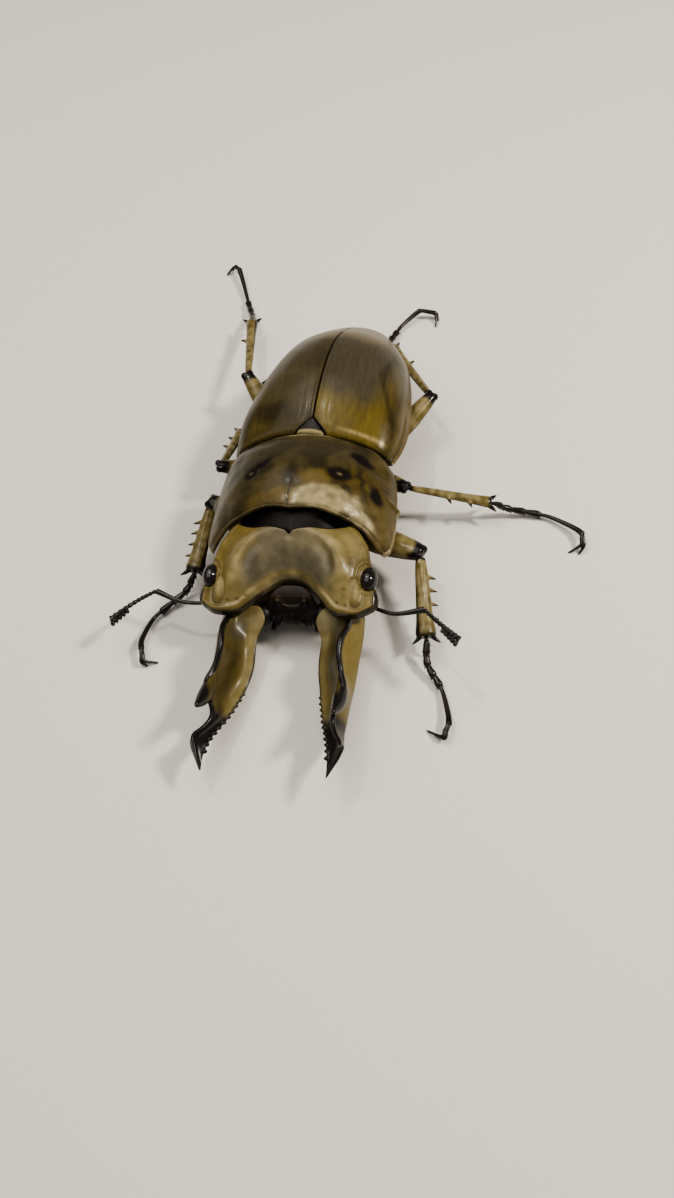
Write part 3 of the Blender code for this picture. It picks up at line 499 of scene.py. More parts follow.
def paintHead(point, normal):
    x, y = point.x, point.y
    side = min(abs(x) / frontHalfWidth, 1)
    away, along = horseshoeAway(x, y)
    cloud = noise(point * 0.35 + Vector((3, 1, 0)))
    patch = noise(point * 0.9 + Vector((1, 7, 2)))
    toFront = toHeadFront(side, y)
    belowRim = headFrontZ(side) - point.z
    arch = ramp(5.0, 3.5, abs(x))
    # painted grey sheen in the hollow inside the raised ring and on a strip along the rear
    grey = max(ramp(1.02, 0.72, away + 0.08 * patch), spot(x, y, (0, -16.8), (4.6, 1.7)))
    grey *= 0.9 - 0.75 * hill(toFront - mix(0.8, 0.35, arch), mix(0.7, 0.5, arch))
    # painted highlight in a band along the rolled front rim
    highlightBand = hill(toFront - mix(0.66, 0.2, arch), 0.4) * ramp(8.0, 6.0, abs(x))
    arm = hill(away - 1.02, 0.2) * ramp(-0.55, -0.1, along) * ramp(3.5, 5.5, abs(x))
    pale = 0.5 * highlightBand + (0.6 if x < 0 else 0.35) * arm + patches(x, y, head["palePatches"])
    pale += 0.35 * spot(abs(x), y, head["ridge"], (0.5, 1.1), 0.6)
    pale *= 0.8 + 0.8 * patch
    gold = patches(x, y, head["goldPatches"]) + 0.3 * ramp(0, 0.35, cloud) + 0.4 * hill(toFront - 0.3, 0.3)
    # painted shade in the groove round the front end of the ridge beside the eye
    groove = hill(ovalWay(abs(x), y, head["ridge"], (0.75, 1.6)) - 1, 0.3)
    dark = max(patches(x, y, head["darkPatches"]), 0.45 * groove * ramp(-22.6, -23.4, y),
               0.85 * hill(x, 0.3) * hill(y + 15.9, 0.4),
               0.7 * ramp(0.45, 0.95, belowRim) * ramp(0.3, 0.1, toFront) * arch,
               *(0.55 * hill(ovalWay(x, y, pit), 0.3) for pit in head["pits"]))
    edge = min(toFront, (1 - side) * 11)
    beneath = ramp(0.15, -0.3, normal.z) * max(1 - arch, ramp(0.6, 1.2, belowRim))
    black = max(dark, 0.92 * ramp(0.2, 0.02, edge) * ramp(-20.2, -22.2, y), 0.86 * beneath)
    return black, grey, min(pale, 0.85), min(gold, 1)


finishPiece("headShield", shell(head["across"], head["along"], placeHead, headRelief),
            "front", "headShell", ["head"], paintHead)

occiput = {"rear": -11.4, "halfWidth": (7.3, 7.5), "top": (14.2, 12.7), "crown": 0.052, "underside": 4.0}


def placeOcciput(u, v, top):
    x = u * mix(*occiput["halfWidth"], v)
    front = headRear(abs(x) / rearHalfWidth) + 0.3
    z = mix(*occiput["top"], v) - occiput["crown"] * x * x
    if top:
        z -= rolled((1 - v) * 3, 0.3)
    return Vector((x, mix(occiput["rear"], front, v), z if top else occiput["underside"] + 0.03 * x * x))


finishPiece("occiputBand", shell(60, 24, placeOcciput), "front", "neckSkin", ["occiput"])

for name, side in sides.items():
    globe = ball(toSide(eye["centre"], side), eye["radii"], 64, 40)
    finishPiece(f"eye{name.title()}", globe, "front", "eyeShell", [f"eye_{name}"])
print("head made")


# mouth, a brown plate between the jaws with black joints and a bristly edge

mouth = {
    "halfWidth": [(0, 3.2), (0.5, 3.4), (0.85, 2.7), (1, 1.9)], "frontY": -23.4,
    "top": [(0, 7.4), (0.3, 7.0), (0.6, 6.3), (0.85, 5.3), (1, 4.4)], "sideFall": 1.3, "underside": 3.5,
    "plateEdge": -21.75, "plateRise": 0.3, "knob": (1.75, -21.95), "knobRise": 0.35,
    "lip": -22.4, "lipRise": 0.16, "bristles": 110, "bristleLength": 0.9,
    "cheek": ((3.75, -22.3, 4.3), (1.15, 1.7, 1.35)),
}
mouthWidth = table(mouth["halfWidth"], 0, 1)
mouthTop = table(mouth["top"], 0, 1)


def placeMouth(u, v, top):
    x = u * mouthWidth(v)
    rear = headFront(abs(x) / frontHalfWidth) - 0.4
    y = mix(rear, mouth["frontY"], v)
    z = mouthTop(v) - mouth["sideFall"] * u**4
    if top:
        onPlate = ramp(-0.15, 0.15, y - mouth["plateEdge"]) * ramp(3.1, 2.7, abs(x))
        onLip = hill(y - mouth["lip"] - 0.15 * x * x, 0.2) * ramp(1.4, 0.9, abs(x))
        z += mouth["plateRise"] * onPlate + mouth["lipRise"] * onLip
        z += mouth["knobRise"] * spot(abs(x), y, mouth["knob"], (0.42, 0.34), 0.6)
        z -= rolled(v * 4, 0.3)
    return Vector((x, y, z if top else mouth["underside"] + 0.6 * u * u))


def paintMouth(point, normal):
    x, y = abs(point.x), point.y
    # a pale line along the labrum's edge, brightened as a painted highlight
    lip = 0.5 * hill(y - mouth["lip"] - 0.15 * x * x, 0.16) * ramp(1.3, 0.9, x)
    joints = max(ramp(2.6, 3.0, x), ramp(-0.1, -0.3, y - mouth["plateEdge"]))
    # painted glints on the two knobs
    knobGlints = spot(x, y, mouth["knob"], (0.24, 0.17), 0.6)
    return joints * (1 - max(lip, 0.3 * knobGlints)), 0, 0.25 * lip + 0.2 * knobGlints, 0


def makeBristles():
    draw = random.Random(7)
    parts = []
    for k in range(mouth["bristles"]):
        u = draw.uniform(-1, 1)
        root = placeMouth(u * 0.95, draw.uniform(0.82, 0.97), True)
        forward = mouth["bristleLength"] * draw.uniform(0.4, 1)
        tip = root + Vector((0.35 * u, -forward, -draw.uniform(0.1, 0.7)))
        parts.append(limb(taper(root, tip, ((0, 0.07), (0.5, 0.05), (1, 0.02))), 5, 3))
    return parts


mouthParts = [shell(72, 60, placeMouth)] + makeBristles()
for side in sides.values():
    mouthParts.append(ball(toSide(mouth["cheek"][0], side), mouth["cheek"][1], 32, 24))
finishPiece("mouthPad", gathered(mouthParts), "front", "brownMouth", ["mouth"], paintMouth)

palp = {"path": [((2.1, -21.6, 2.75), 0.42), ((2.8, -22.6, 2.4), 0.38), ((2.9, -23.7, 2.3), 0.3)]}
for name, side in sides.items():
    finishPiece(f"palp{name.title()}", mirrored(limb(palp["path"], 20, 16), side), "front", "blackShell",
                [f"palp_{name}"])
print("mouth made")


# mandibles

mandible = {
    "root": -22.3, "tip": -44.9, "depth": 0.9, "hollow": 0.2, "voxel": 0.08,
    "innerX": [(-44.9, 7.5), (-43.5, 7.5), (-42, 7.3), (-40, 6.85), (-38, 6.15), (-36, 5.6), (-34, 5.05),
               (-32, 4.6), (-30, 4.2), (-28, 4.15), (-26, 4.2), (-25, 3.8), (-24.1, 3.4), (-23.2, 3.6),
               (-22.3, 4.3)],
    "innerZ": [(-44.9, 4.5), (-43.5, 4.9), (-42, 5.1), (-40, 4.6), (-38, 3.9), (-36, 3.3), (-34, 2.9),
               (-32, 2.7), (-30, 3.1), (-28, 3.8), (-26, 4.3), (-24.8, 4.9), (-23.5, 5.5), (-22.3, 5.9)],
    "ridgeX": [(-44.9, 7.6), (-43.5, 8.1), (-42, 8.7), (-41, 8.9), (-39.7, 8.2), (-38.5, 7.65),
               (-37.4, 7.45), (-36.3, 7.8), (-35.2, 8.4), (-34, 8.5), (-32, 7.9), (-30, 7.45), (-28, 7.55),
               (-26, 7.85), (-22.3, 7.6)],
    "ridgeZ": [(-44.9, 4.8), (-43.7, 5.4), (-42, 5.9), (-41, 5.9), (-39.5, 5.3), (-38, 5.1), (-36.5, 5.8),
               (-35.2, 6.6), (-34, 6.8), (-32, 6.9), (-30, 7.8), (-28, 8.1), (-26.6, 7.6), (-25.5, 7.0),
               (-24.6, 6.6), (-22.3, 6.3)],
    "outerX": [(-44.9, 7.75), (-43.8, 8.35), (-43, 8.8), (-42.3, 9.15), (-41.3, 9.4), (-40.4, 9.1),
               (-39.3, 8.85), (-38, 8.6), (-36.5, 8.6), (-34, 8.85), (-32, 9.1), (-28, 9.3), (-25, 9.4),
               (-22.3, 9.2)],
    "outerZ": [(-44.9, 4.6), (-43, 5.1), (-42, 5.4), (-41.3, 5.3), (-40.5, 4.6), (-39.5, 3.7), (-38, 2.8),
               (-36.5, 2.5), (-34, 2.9), (-32, 3.4), (-28, 3.9), (-22.3, 4.2)],
    "tooth": [((7.75, -31.6, 6.5), 0.4), ((8.1, -33.5, 6.2), 0.82), ((8.2, -35.3, 6.5), 1.05),
              ((8.3, -36.9, 7.4), 0.88), ((8.25, -38.8, 9.1), 0.26)],
    "denticles": 11, "denticleY": (-33.4, -42.6), "denticleLength": 0.34,
    "ridgeBead": 0.36, "innerBead": 0.2,
}
jaw = [[table(mandible[line + axis], mandible["tip"], mandible["root"]) for axis in "XZ"]
       for line in ("inner", "ridge", "outer")]


def jawLines(y):  # points on the inner edge, the ridge and the outer edge
    return [Vector((across(y), y, height(y))) for across, height in jaw]


def jawRing(y):  # corner points of one cross-section
    inner, ridge, outer = jawLines(y)
    width = outer.x - inner.x
    depth = mandible["depth"] * min(width / 4, 1)
    hollow = Vector((0, 0, mandible["hollow"] * (ridge.z - inner.z)))
    return [
        inner, inner.lerp(ridge, 0.35) - hollow, inner.lerp(ridge, 0.75) - hollow,
        ridge - Vector((0.07 * width, 0, 0)), ridge + Vector((0.05 * width, 0, -0.01)),
        ridge.lerp(outer, 0.5) + Vector((0.04 * width, 0, 0.03 * width)), outer,
        outer + Vector((-0.12 * width, 0, -0.8 * depth)), inner + Vector((0.2 * width, 0, -depth)),
    ]


def placeJaw(u, v):
    y = mix(mandible["root"], mandible["tip"], v)
    ring = jawRing(y)
    count = len(ring)
    place = u * count
    k = int(place) % count
    t = place - int(place)
    a, b, c, d = (ring[(k + step) % count] for step in (-1, 0, 1, 2))
    lean = 0.35
    return eased(b, c, (c - a) * lean, (d - b) * lean, t)


def makeJaw():
    lines = [jawLines(mix(mandible["root"], mandible["tip"], 0.995 * k / 40)) for k in range(41)]
    thin = [min(1, (outer.x - inner.x) / 3) for inner, ridge, outer in lines]
    innerShift = Vector((0.12, 0, -0.1))
    parts = [
        wrapped(72, 110, placeJaw),
        limb([(line[1], mandible["ridgeBead"] * t) for line, t in zip(lines, thin)], 14, 110),
        limb([(line[0] + innerShift, mandible["innerBead"] * t) for line, t in zip(lines, thin)], 12, 110),
        limb(mandible["tooth"], 24, 30, 0.85, (1, 0, 0)),
    ]
    draw = random.Random(3)
    for k in range(mandible["denticles"]):
        y = mix(*mandible["denticleY"], k / (mandible["denticles"] - 1))
        root = jawLines(y)[0] + Vector((0.3, 0, -0.12))
        long = 0.3 + mandible["denticleLength"] * draw.uniform(0.75, 1.1)
        middle, tip = root - Vector((0.6 * long, 0, 0)), root - Vector((long, 0.08, 0))
        parts.append(limb([(root, 0.34), (middle, 0.27), (tip, 0.1)], 10, 8))
    return fused(parts, mandible["voxel"], 2)


def paintJaw(point, normal):
    y = min(max(point.y, mandible["tip"]), mandible["root"])
    spread = Vector((abs(point.x), y, point.z))
    inner, ridge, outer = jawLines(y)
    cloud = noise(spread * 0.7)
    apical = ramp(-36.2, -37.6, y)
    share = (spread.x - inner.x) / max(ridge.x - inner.x, 0.5)
    onInner = ramp(1.1, 0.9, share)
    hollow = hill(share - 0.62, 0.42) * onInner
    inTooth = ramp(-0.5, -0.1, point.z - ridge.z) * ramp(-32.4, -33.2, y)
    outward = normal.x if point.x > 0 else -normal.x
    toothEdge = max(0.45, ramp(-0.15, 0.2, outward), ramp(6.8, 7.8, point.z), ramp(0.3, 0.8, -normal.y))
    black = max(
        ramp(0.58, 0.38, (spread - ridge).length),
        0.9 * ramp(0.26, 0.1, (spread - inner).length) * ramp(-25.5, -28, y),
        ramp(-36.2, -38.6, y + 0.8 * cloud),
        inTooth * toothEdge,
        ramp(0.05, 0.25, inner.x - spread.x) * ramp(-31.5, -32.5, y),
        ramp(0.2, -0.35, normal.z),
        apical * ramp(-0.35, 0.3, spread.x - mix(inner.x, ridge.x, 0.45)),
        0.62 * hollow * ramp(-24.5, -27.5, y) + 0.15 * cloud * hollow)
    # painted grey sheen on the hollow near the root and on the inner half of the tip
    grey = 0.8 * hollow * hill(y + 25.5, 3.0) + 0.7 * apical * onInner
    pale = 0.65 * ramp(0.5, 0.12, share) * (1 - apical) + 0.3 * onInner * ramp(-26, -23.5, y)
    gold = (1 - onInner) * ramp(-38, -35.5, y) * 0.9 + 0.35 * onInner
    return *shares(black, grey), min(pale * (0.9 + 0.5 * cloud), 1), min(gold, 1)


for name, side in sides.items():
    finishPiece(f"mandible{name.title()}", mirrored(makeJaw(), side), "front", "jawShell",
                [f"mandible_{name}"], paintJaw)
print("mandibles made")


# antennae

antenna = {
    "scape": {
        "left": [((10.6, -22.3, 6.2), 0.26), ((13.4, -23.3, 6.6), 0.28), ((17.2, -22.8, 7.0), 0.42)],
        "right": [((-10.6, -22.3, 6.2), 0.26), ((-14.2, -22.5, 6.6), 0.28), ((-18.0, -21.2, 7.0), 0.42)],
    },
    "shaft": {
        "left": [(17.0, -22.8, 7.0), (19.0, -24.7, 7.0), (21.7, -26.9, 7.0)],
        "right": [(-17.85, -21.15, 7.0), (-20.3, -23.0, 7.0), (-23.1, -25.8, 7.0)],
    },
    "beads": 11, "beadRadius": (0.3, 0.4), "lamellae": 5, "pitch": 0.6, "lamellaLength": 1.15,
    "voxel": 0.05,
}


def makeClub(name, side):
    line = [Vector(point) for point in antenna["shaft"][name]]
    path = pathThrough(line)
    count = antenna["beads"]
    parts = []
    for k in range(count):
        thick = mix(*antenna["beadRadius"], k / count)
        bead = ((0, 0.6 * thick), (0.35, 0.8 * thick), (0.75, thick), (1, 0.65 * thick))
        parts.append(limb(taper(path(k / count), path((k + 1.12) / count), bead), 12, 10))
    end = line[-1]
    ahead = (end - line[-2]).normalized()
    inward = ahead.cross(Vector((0, 0, side)))
    for k in range(antenna["lamellae"]):
        root = end - ahead * antenna["pitch"] * (k + 0.3)
        tip = root + inward * antenna["lamellaLength"] * (1 - 0.08 * k) + ahead * 0.3
        parts.append(limb(taper(root, tip, ((0, 0.16), (0.5, 0.25), (0.85, 0.27), (1, 0.14))), 12, 12, 1.4))
    return fused(parts, antenna["voxel"], 1)


for name, side in sides.items():
    finishPiece(f"antennaScape{name.title()}", limb(antenna["scape"][name], 20, 40), "front", "blackShell",
                [f"antenna_{name}_scape"])
    finishPiece(f"antennaClub{name.title()}", makeClub(name, side), "front", "blackShell",
                [f"antenna_{name}_club"])
print("antennae made")


# pronotum

pronotum = {
    "halfWidth": [(0, 10.5), (0.1, 11.4), (0.3, 11.9), (0.45, 12.1), (0.7, 12.2), (0.85, 12.15),
                  (0.94, 11.9), (1, 11.2)],
    "sideTooth": (0.47, 0.045, 0.4),
    "rearY": [(0, -0.7), (0.2, -0.85), (0.4, -1.2), (0.65, -1.6), (0.85, -1.85), (1, -2.5)],
    "frontY": [(0, -13.5), (0.25, -13.1), (0.4, -13.3), (0.6, -13.8), (0.75, -14.1), (0.87, -15.0),
               (0.95, -15.7), (1, -15.6)],
    "crest": [(0, 14.1), (0.2, 15.2), (0.5, 15.8), (0.8, 15.5), (1, 15.0)],
    "margin": [(0, 9.2), (0.15, 8.5), (0.4, 8.0), (0.8, 7.8), (1, 8.0)],
    "dome": [(0, 0.55), (0.3, 0.7), (0.7, 0.72), (1, 0.85)],
    "edge": 0.6, "underside": 6.6, "edgeRound": 0.16,
    "bead": 0.07, "beadAt": 0.16, "beadWidth": 0.12, "groove": 0.06,
    "dimple": (9.9, -5.2), "dimpleWidth": 1.6,
    "across": 180, "along": 100,
    "spots": [((-4.6, -6.75), (1.3, 0.6), 0.6), ((-5.95, -7.95), (1.0, 0.8), 0.75),
              ((5.4, -7.85), (1.4, 1.05), 0.1), ((7.7, -4.55), (1.45, 0.75), -0.35),
              ((9.95, -9.1), (1.35, 0.75), -1.25)],
    # painted highlights in the middles of two black spots
    "spotHighlights": [(1, (5.5, -7.95), (0.36, 0.24), 0.5), (0.8, (-6.05, -7.85), (0.32, 0.22), 0.5)],
    "dot": ((10.9, -7.4), (0.3, 0.25), 0.6), "frontSheen": ((4.0, -11.75), (4.2, 1.75), 0.3),
    "cornerPatch": ((8.0, -12.6), (2.4, 0.9), -0.65), "middlePatch": ((-0.5, -8.8), (0.75, 1.7), 0.7),
    # grey patches of painted sheen, the broadest over the rear
    "sheenPatches": [(0.75, (0.5, -4.0), (8.0, 2.4), 0.6), (0.3, (-6.5, -9.5), (2.6, 2.2), 0.6),
                    (0.35, (3.7, -11.2), (1.3, 0.8), 0.7)],
    "palePatches": [(0.1, (10.6, -13.0), (1.6, 2.6), 0.6), (0.08, (-9.5, -11.5), (2.2, 3.5), 0.6)],
    "goldPatches": [(0.85, (2.6, -9.0), (2.2, 1.2), 0.5), (0.6, (-2.6, -12.0), (3.2, 1.2), 0.5)],
}
proWidest = max(width for v, width in pronotum["halfWidth"])
proWidth, proRear, proFront, proCrest, proMargin, proDome = (
    table(pronotum[key], 0, 1) for key in ("halfWidth", "rearY", "frontY", "crest", "margin", "dome"))


def pronotumGrid(u, v):
    return sin(u * pi / 2), mix(v, (1 - cos(v * pi)) / 2, 0.7)


def edgesOfPronotum(u, v, x, y):  # straight ways to the side, front and rear edges, along the surface
    side = abs(u)
    toSideEdge = (1 - side) * proWidth(v) * (1 + 2.5 * ramp(0.8, 1, side))
    return toSideEdge, y - proFront(side), proRear(side) - y


def placePronotum(u, v, top):
    u, v = pronotumGrid(u, v)
    side = abs(u)
    at, wide, reach = pronotum["sideTooth"]
    x = u * (proWidth(v) + reach * hill(v - at, wide) * ramp(0.9, 1, side))
    y = mix(proRear(side), proFront(side), v)
    z = mix(proMargin(v), proCrest(v), (1 - side**2.3) ** proDome(v))
    fall = rolled(min(edgesOfPronotum(u, v, x, y)), pronotum["edgeRound"])
    if top:
        return Vector((x, y, z - fall))
    deep = ramp(0.95, 0.8, side) * ramp(0.8, 0.74, v)
    return Vector((x, y, mix(z - pronotum["edge"] + fall, pronotum["underside"], deep)))


def tiltedSpot(x, y, centre, radii, lean):
    x, y = x - centre[0], y - centre[1]
    return spot(x * cos(lean) + y * sin(lean), y * cos(lean) - x * sin(lean), (0, 0), radii, 0.35)


def pronotumRelief(u, v, point):
    u, v = pronotumGrid(u, v)
    x, y = point.x, point.y
    nearest = min(edgesOfPronotum(u, v, x, y))
    rise = pronotum["bead"] * hill(nearest - pronotum["beadAt"], pronotum["beadWidth"])
    rise -= 0.05 * hill(nearest - 0.36, 0.12)
    rise -= pronotum["groove"] * hill(x + 0.4, 0.6) * ramp(0.3, 0.5, v) * ramp(0.98, 0.9, v)
    rise -= sum(0.08 * tiltedSpot(x, y, *each) for each in pronotum["spots"])
    rise -= 0.14 * hill(ovalWay(x, y, pronotum["dimple"]), pronotum["dimpleWidth"])
    return rise + 0.07 * noise(point * 0.5) + 0.015 * noise(point * 2.5)


def paintPronotum(point, normal):
    x, y = point.x, point.y
    cloud = noise(point * 0.3 + Vector((5, 2, 1)))
    mottle = noise(point * 1.1 + Vector((2, 0, 4)))
    wavy = (x + 0.7 * noise(point * 0.6), y + 0.5 * noise(point * 0.8 + Vector((9, 0, 0))))
    frayed = (x + 0.2 * noise(point * 1.2), y + 0.2 * noise(point * 1.2 + Vector((4, 4, 4))))
    side = min(abs(x) / proWidest, 1)
    rear, front = proRear(side), proFront(side)
    toRear, toFront = rear - y, y - front
    # painted highlights that lighten the middles of the spots
    spotHighlight = max(share * spot(x, y, *row) for share, *row in pronotum["spotHighlights"])
    spots = max(tiltedSpot(*frayed, *each) for each in pronotum["spots"]) * (1 - spotHighlight)
    spots = max(spots, 0.8 * spot(x, y, *pronotum["dot"]))
    middle = x + 0.4 + 0.25 * noise(Vector((0, y * 0.8, 0)))
    crack = 0.85 * hill(middle, 0.2) * ramp(-7.2, -8.6, y) * ramp(-13.4, -13.0, y)
    crack = max(crack, 0.5 * spot(*wavy, *pronotum["middlePatch"]))
    line = max(0.85 * hill(toFront - 0.25, 0.1), 0.6 * hill(toRear - 0.36, 0.12))
    black = max(spots * 0.98, crack, line, ramp(0.1, -0.3, normal.z))
    grey = patches(*wavy, pronotum["sheenPatches"]) + 0.8 * spotHighlight
    # a painted sheen at the front right of the middle line, with a pale patch at the front corner
    patch = max(spot(*wavy, *pronotum["frontSheen"]) * ramp(-0.6, 0.1, x),
                0.75 * tiltedSpot(*wavy, *pronotum["cornerPatch"]))
    along = min(max(toRear / (rear - front), 0), 1)
    sideLine = ramp(0.45, 0.2, point.z - proMargin(along)) * ramp(0.85, 0.93, side)
    pale = 0.95 * patch + patches(*wavy, pronotum["palePatches"]) + 0.04 * ramp(0, 0.5, cloud)
    pale += 0.4 * hill(toFront - 0.08, 0.08) + 0.9 * hill(toRear - 0.16, 0.12)
    pale += 0.85 * sideLine + 0.3 * spotHighlight
    gold = patches(*wavy, pronotum["goldPatches"]) + 0.3 * ramp(8, 11, x) + 0.2 * ramp(0, 0.4, cloud)
    gold += 0.5 * spot(*wavy, (7.5, -8.6), (1.7, 2.6), 0.6) * ramp(-0.2, 0.25, mottle)
    return shares(black, grey, pale * (0.85 + 0.6 * mottle), gold)


finishPiece("pronotumShield", shell(pronotum["across"], pronotum["along"], placePronotum, pronotumRelief),
            "front", "pronotumShell", ["pronotum"], paintPronotum)
print("pronotum made")


# wing cases and scutellum

wingCase = {
    "y": (-0.3, 26.8), "frontBow": {"left": 0.75, "right": 2.0}, "bowWidth": 11.3,
    "thickness": 0.8, "power": 1.04,
    "halfWidth": [(-0.3, 10.6), (2, 11.3), (5, 11.5), (9, 11.0), (12, 10.45), (15, 9.75), (18, 8.8),
                  (21, 7.2), (23.4, 5.6), (25, 4.3), (26, 3.0), (26.8, 1.4)],
    "crest": [(-0.3, 13.5), (1, 14.3), (5, 15.6), (9, 16.2), (13.5, 15.8), (18, 14.1), (21.5, 11.6),
              (24, 9.5), (25.8, 7.8), (26.8, 6.7)],
    "margin": [(-0.3, 9.2), (5, 8.6), (9, 8.2), (13, 7.6), (18, 7.2), (23.5, 6.7), (26.8, 6.3)],
    "rim": 0.12, "gutter": 0.12, "suture": 0.03, "shoulder": 0.2, "lines": ((0.055, 0.02), (0.105, 0.02)),
    "across": 100, "along": 170,
    "patches": {  # painted grey sheen, gold, pale and dark ones
        "left": ([(0.95, (3.6, 12.0), (5.2, 6.6), 0.4)], [(0.45, (8.2, 8.0), (1.5, 5.5), 0.6)],
                 [(0.16, (3.0, 21.0), (6.0, 3.6), 0.6)], []),
        "right": ([(0.55, (4.0, 10.0), (4.2, 6.5), 0.5), (0.3, (2.2, 3.2), (1.2, 2.4), 0.6)],
                  [(0.25, (7.5, 5.0), (2.4, 5.0), 0.6)], [(0.22, (3.5, 20.5), (5.5, 3.4), 0.6)],
                  [(0.6, (6.4, 3.1), (2.5, 1.6), 0.5), (0.25, (9.3, 9.0), (1.0, 6.0), 0.6)]),
    },
}
scutellum = {"halfWidth": 1.9, "y": (-0.4, 1.7), "z": (14.0, 14.7), "thickness": 0.6}
caseWidth, caseCrest, caseMargin = (
    table(wingCase[key], *wingCase["y"]) for key in ("halfWidth", "crest", "margin"))


def scutellumEdge(y):  # half its width, none a little behind its tip
    return scutellum["halfWidth"] * (1 - ramp(scutellum["y"][0], scutellum["y"][1] + 0.5, y))


def casePoint(around, y, inset, bow=0.0):
    turn = around * pi / 2
    low, high = wingCase["y"]
    margin = caseMargin(y)
    halfWidth = max(caseWidth(y) - inset, 0.5)
    rise = max(caseCrest(y) - inset - margin, 0.02)
    x = halfWidth * sin(turn) ** wingCase["power"]
    forward = bow * (x / halfWidth) ** 2 * (1 - ramp(low, 6, y))
    back = y - forward - inset * (y - low) / (high - low)
    return Vector((x, back, margin + rise * max(cos(turn), 0) ** wingCase["power"]))


def caseGrid(u, v):
    around = (u + 1) / 2
    around = mix(around, (1 - cos(around * pi)) / 2, 0.5)
    return around, mix(*wingCase["y"], mix(v, sin(v * pi / 2), 0.7))


def makeCase(name):
    bow = wingCase["frontBow"][name]

    def place(u, v, top):
        around, y = caseGrid(u, v)
        fromEdge = min(around * 12, (1 - around) * 16, (y - wingCase["y"][0]) + 0.02, 1)
        fall = rolled(fromEdge, 0.3) / 0.3
        inset = 0.22 * fall if top else wingCase["thickness"] - 0.3 * fall
        point = casePoint(around, y, inset, bow)
        edge = casePoint(1, y, inset).x
        point.x = mix(scutellumEdge(y) + 0.06, edge, point.x / edge)
        return point

    def relief(u, v, point):
        around, y = caseGrid(u, v)
        arc = around * 16
        lowEdge = (1 - around) * 16
        rise = wingCase["rim"] * hill(lowEdge - 0.25, 0.25) - wingCase["gutter"] * hill(lowEdge - 0.85, 0.5)
        rise += wingCase["suture"] * hill(arc - 0.22, 0.2) - 0.05 * hill(arc - 0.5, 0.16)
        for place, depth in wingCase["lines"]:
            rise -= depth * hill(around - place, 0.012) * ramp(11, 6, point.y)
        rise += wingCase["shoulder"] * spot(arc, point.y, (10.6, 2.6), (2.3, 2.6), 0.7)
        rise -= 0.16 * hill(around - 0.84, 0.06) * ramp(11, 4, point.y)
        rise += 0.04 * hill(y - 0.2, 0.3)
        return rise + 0.04 * noise(Vector((point.x * 0.5, point.y * 0.18, point.z * 0.5)))

    return shell(wingCase["across"], wingCase["along"], place, relief)


def paintCase(name):
    side, bow = sides[name], wingCase["frontBow"][name]

    def paint(point, normal):
        x, y = point.x * side, point.y
        cloud = noise(Vector((x * 0.25, y * 0.16, 4)))
        streak = noise(Vector((x * 2.2, y * 0.35, 1)))
        wavy = (x + 0.9 * cloud + 0.25 * streak, y + 1.2 * noise(Vector((x * 0.4, y * 0.2, 8))))
        front = y + bow * (x / wingCase["bowWidth"]) ** 2 + 0.3
        low = point.z - caseMargin(y)
        grey, gold, pale, dark = (patches(*wavy, rows) for rows in wingCase["patches"][name])
        if name == "left":
            fading = ramp(8.5, 4.0, wavy[1] + 0.25 * x) * ramp(9.6, 8.2, x)
            # painted highlight in a band along the front edge
            highlightBand = hill(front - 1.1, 0.42) * ramp(3.0, 5.0, x) * ramp(10.2, 9.2, x)
            flank = hill(wavy[0] - mix(10.4, 7.8, ramp(1.5, 11, y)), 0.75) * ramp(19, 14, y)
            gold += 0.95 * fading * (0.8 + 0.5 * streak)
            pale += 0.95 * highlightBand * (0.8 + 0.7 * streak) + 0.14 * ramp(10.0, 10.8, x)
            dark += 0.55 * flank * ramp(0.5, 2, y)
        else:
            gold += 0.15 * ramp(2.2, 0.8, front)
            pale += 0.12 * hill(front - 0.4, 0.3) * ramp(2.5, 4.0, x)
            dark += 0.3 * ramp(2.5, 1.0, front)
        black = max(
            dark,
            0.6 * hill(low - 0.75, 0.22) * ramp(24, 20, y),
            0.85 * hill(x - 0.06, 0.13) * ramp(1.8, 2.4, y),
            0.45 * hill(x - 0.62, 0.1) * ramp(1.8, 3, y) * ramp(12, 8, y),
            ramp(0.5, 0.3, x - scutellumEdge(y)) * ramp(2.0, 1.5, y),
            0.8 * ramp(0.16, 0.02, front),
            ramp(0.1, -0.3, normal.z))
        return shares(black, grey, pale + 0.17 * hill(low - 0.25, 0.3), gold)
    return paint


for name, side in sides.items():
    finishPiece(f"wingCase{name.title()}", mirrored(makeCase(name), side), "rear", "wingShell",
                [f"wing_case_{name}"], paintCase(name))


def placeScutellum(u, v, top):
    y = mix(*scutellum["y"], v)
    x = u * max(scutellumEdge(y) - 0.1, 0.1)
    z = mix(*scutellum["z"], v) - 0.06 * x * x
    fromEdge = min((1 - abs(u)) * 2, (1 - v) * 2, v * 2)
    z += 0.12 - 0.6 * rolled(fromEdge, 0.4)
    return Vector((x, y, z if top else z - scutellum["thickness"]))


def paintScutellum(point, normal):  # a pale strip of skin in front of the black plate
    return 0, 0, 0.8 * ramp(0.12, 0.0, point.y + 0.05 * point.x**2), 0


finishPiece("scutellumPlate", shell(36, 30, placeScutellum), "rear", "neckSkin",
            ["scutellum"], paintScutellum)
print("wing cases made")


# underside, softened copies of the plates and a dark waist between them

toFloor = frames["floor"].inverted()
underside = {"voxel": 0.17, "smooth": 5, "waist": ((0, -0.7, 6.2), (6.4, 1.8, 2.5))}


def softened(node):
    bm = bmesh.new()
    bm.from_mesh(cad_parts[node].data)
    bmesh.ops.remove_doubles(bm, verts=bm.verts, dist=1e-6)
    bmesh.ops.scale(bm, vec=(1 / mm, 1 / mm, 1 / mm), verts=bm.verts)
    bm = fused([bm], underside["voxel"], underside["smooth"])
    bmesh.ops.transform(bm, matrix=toFloor, verts=bm.verts)
    return bm


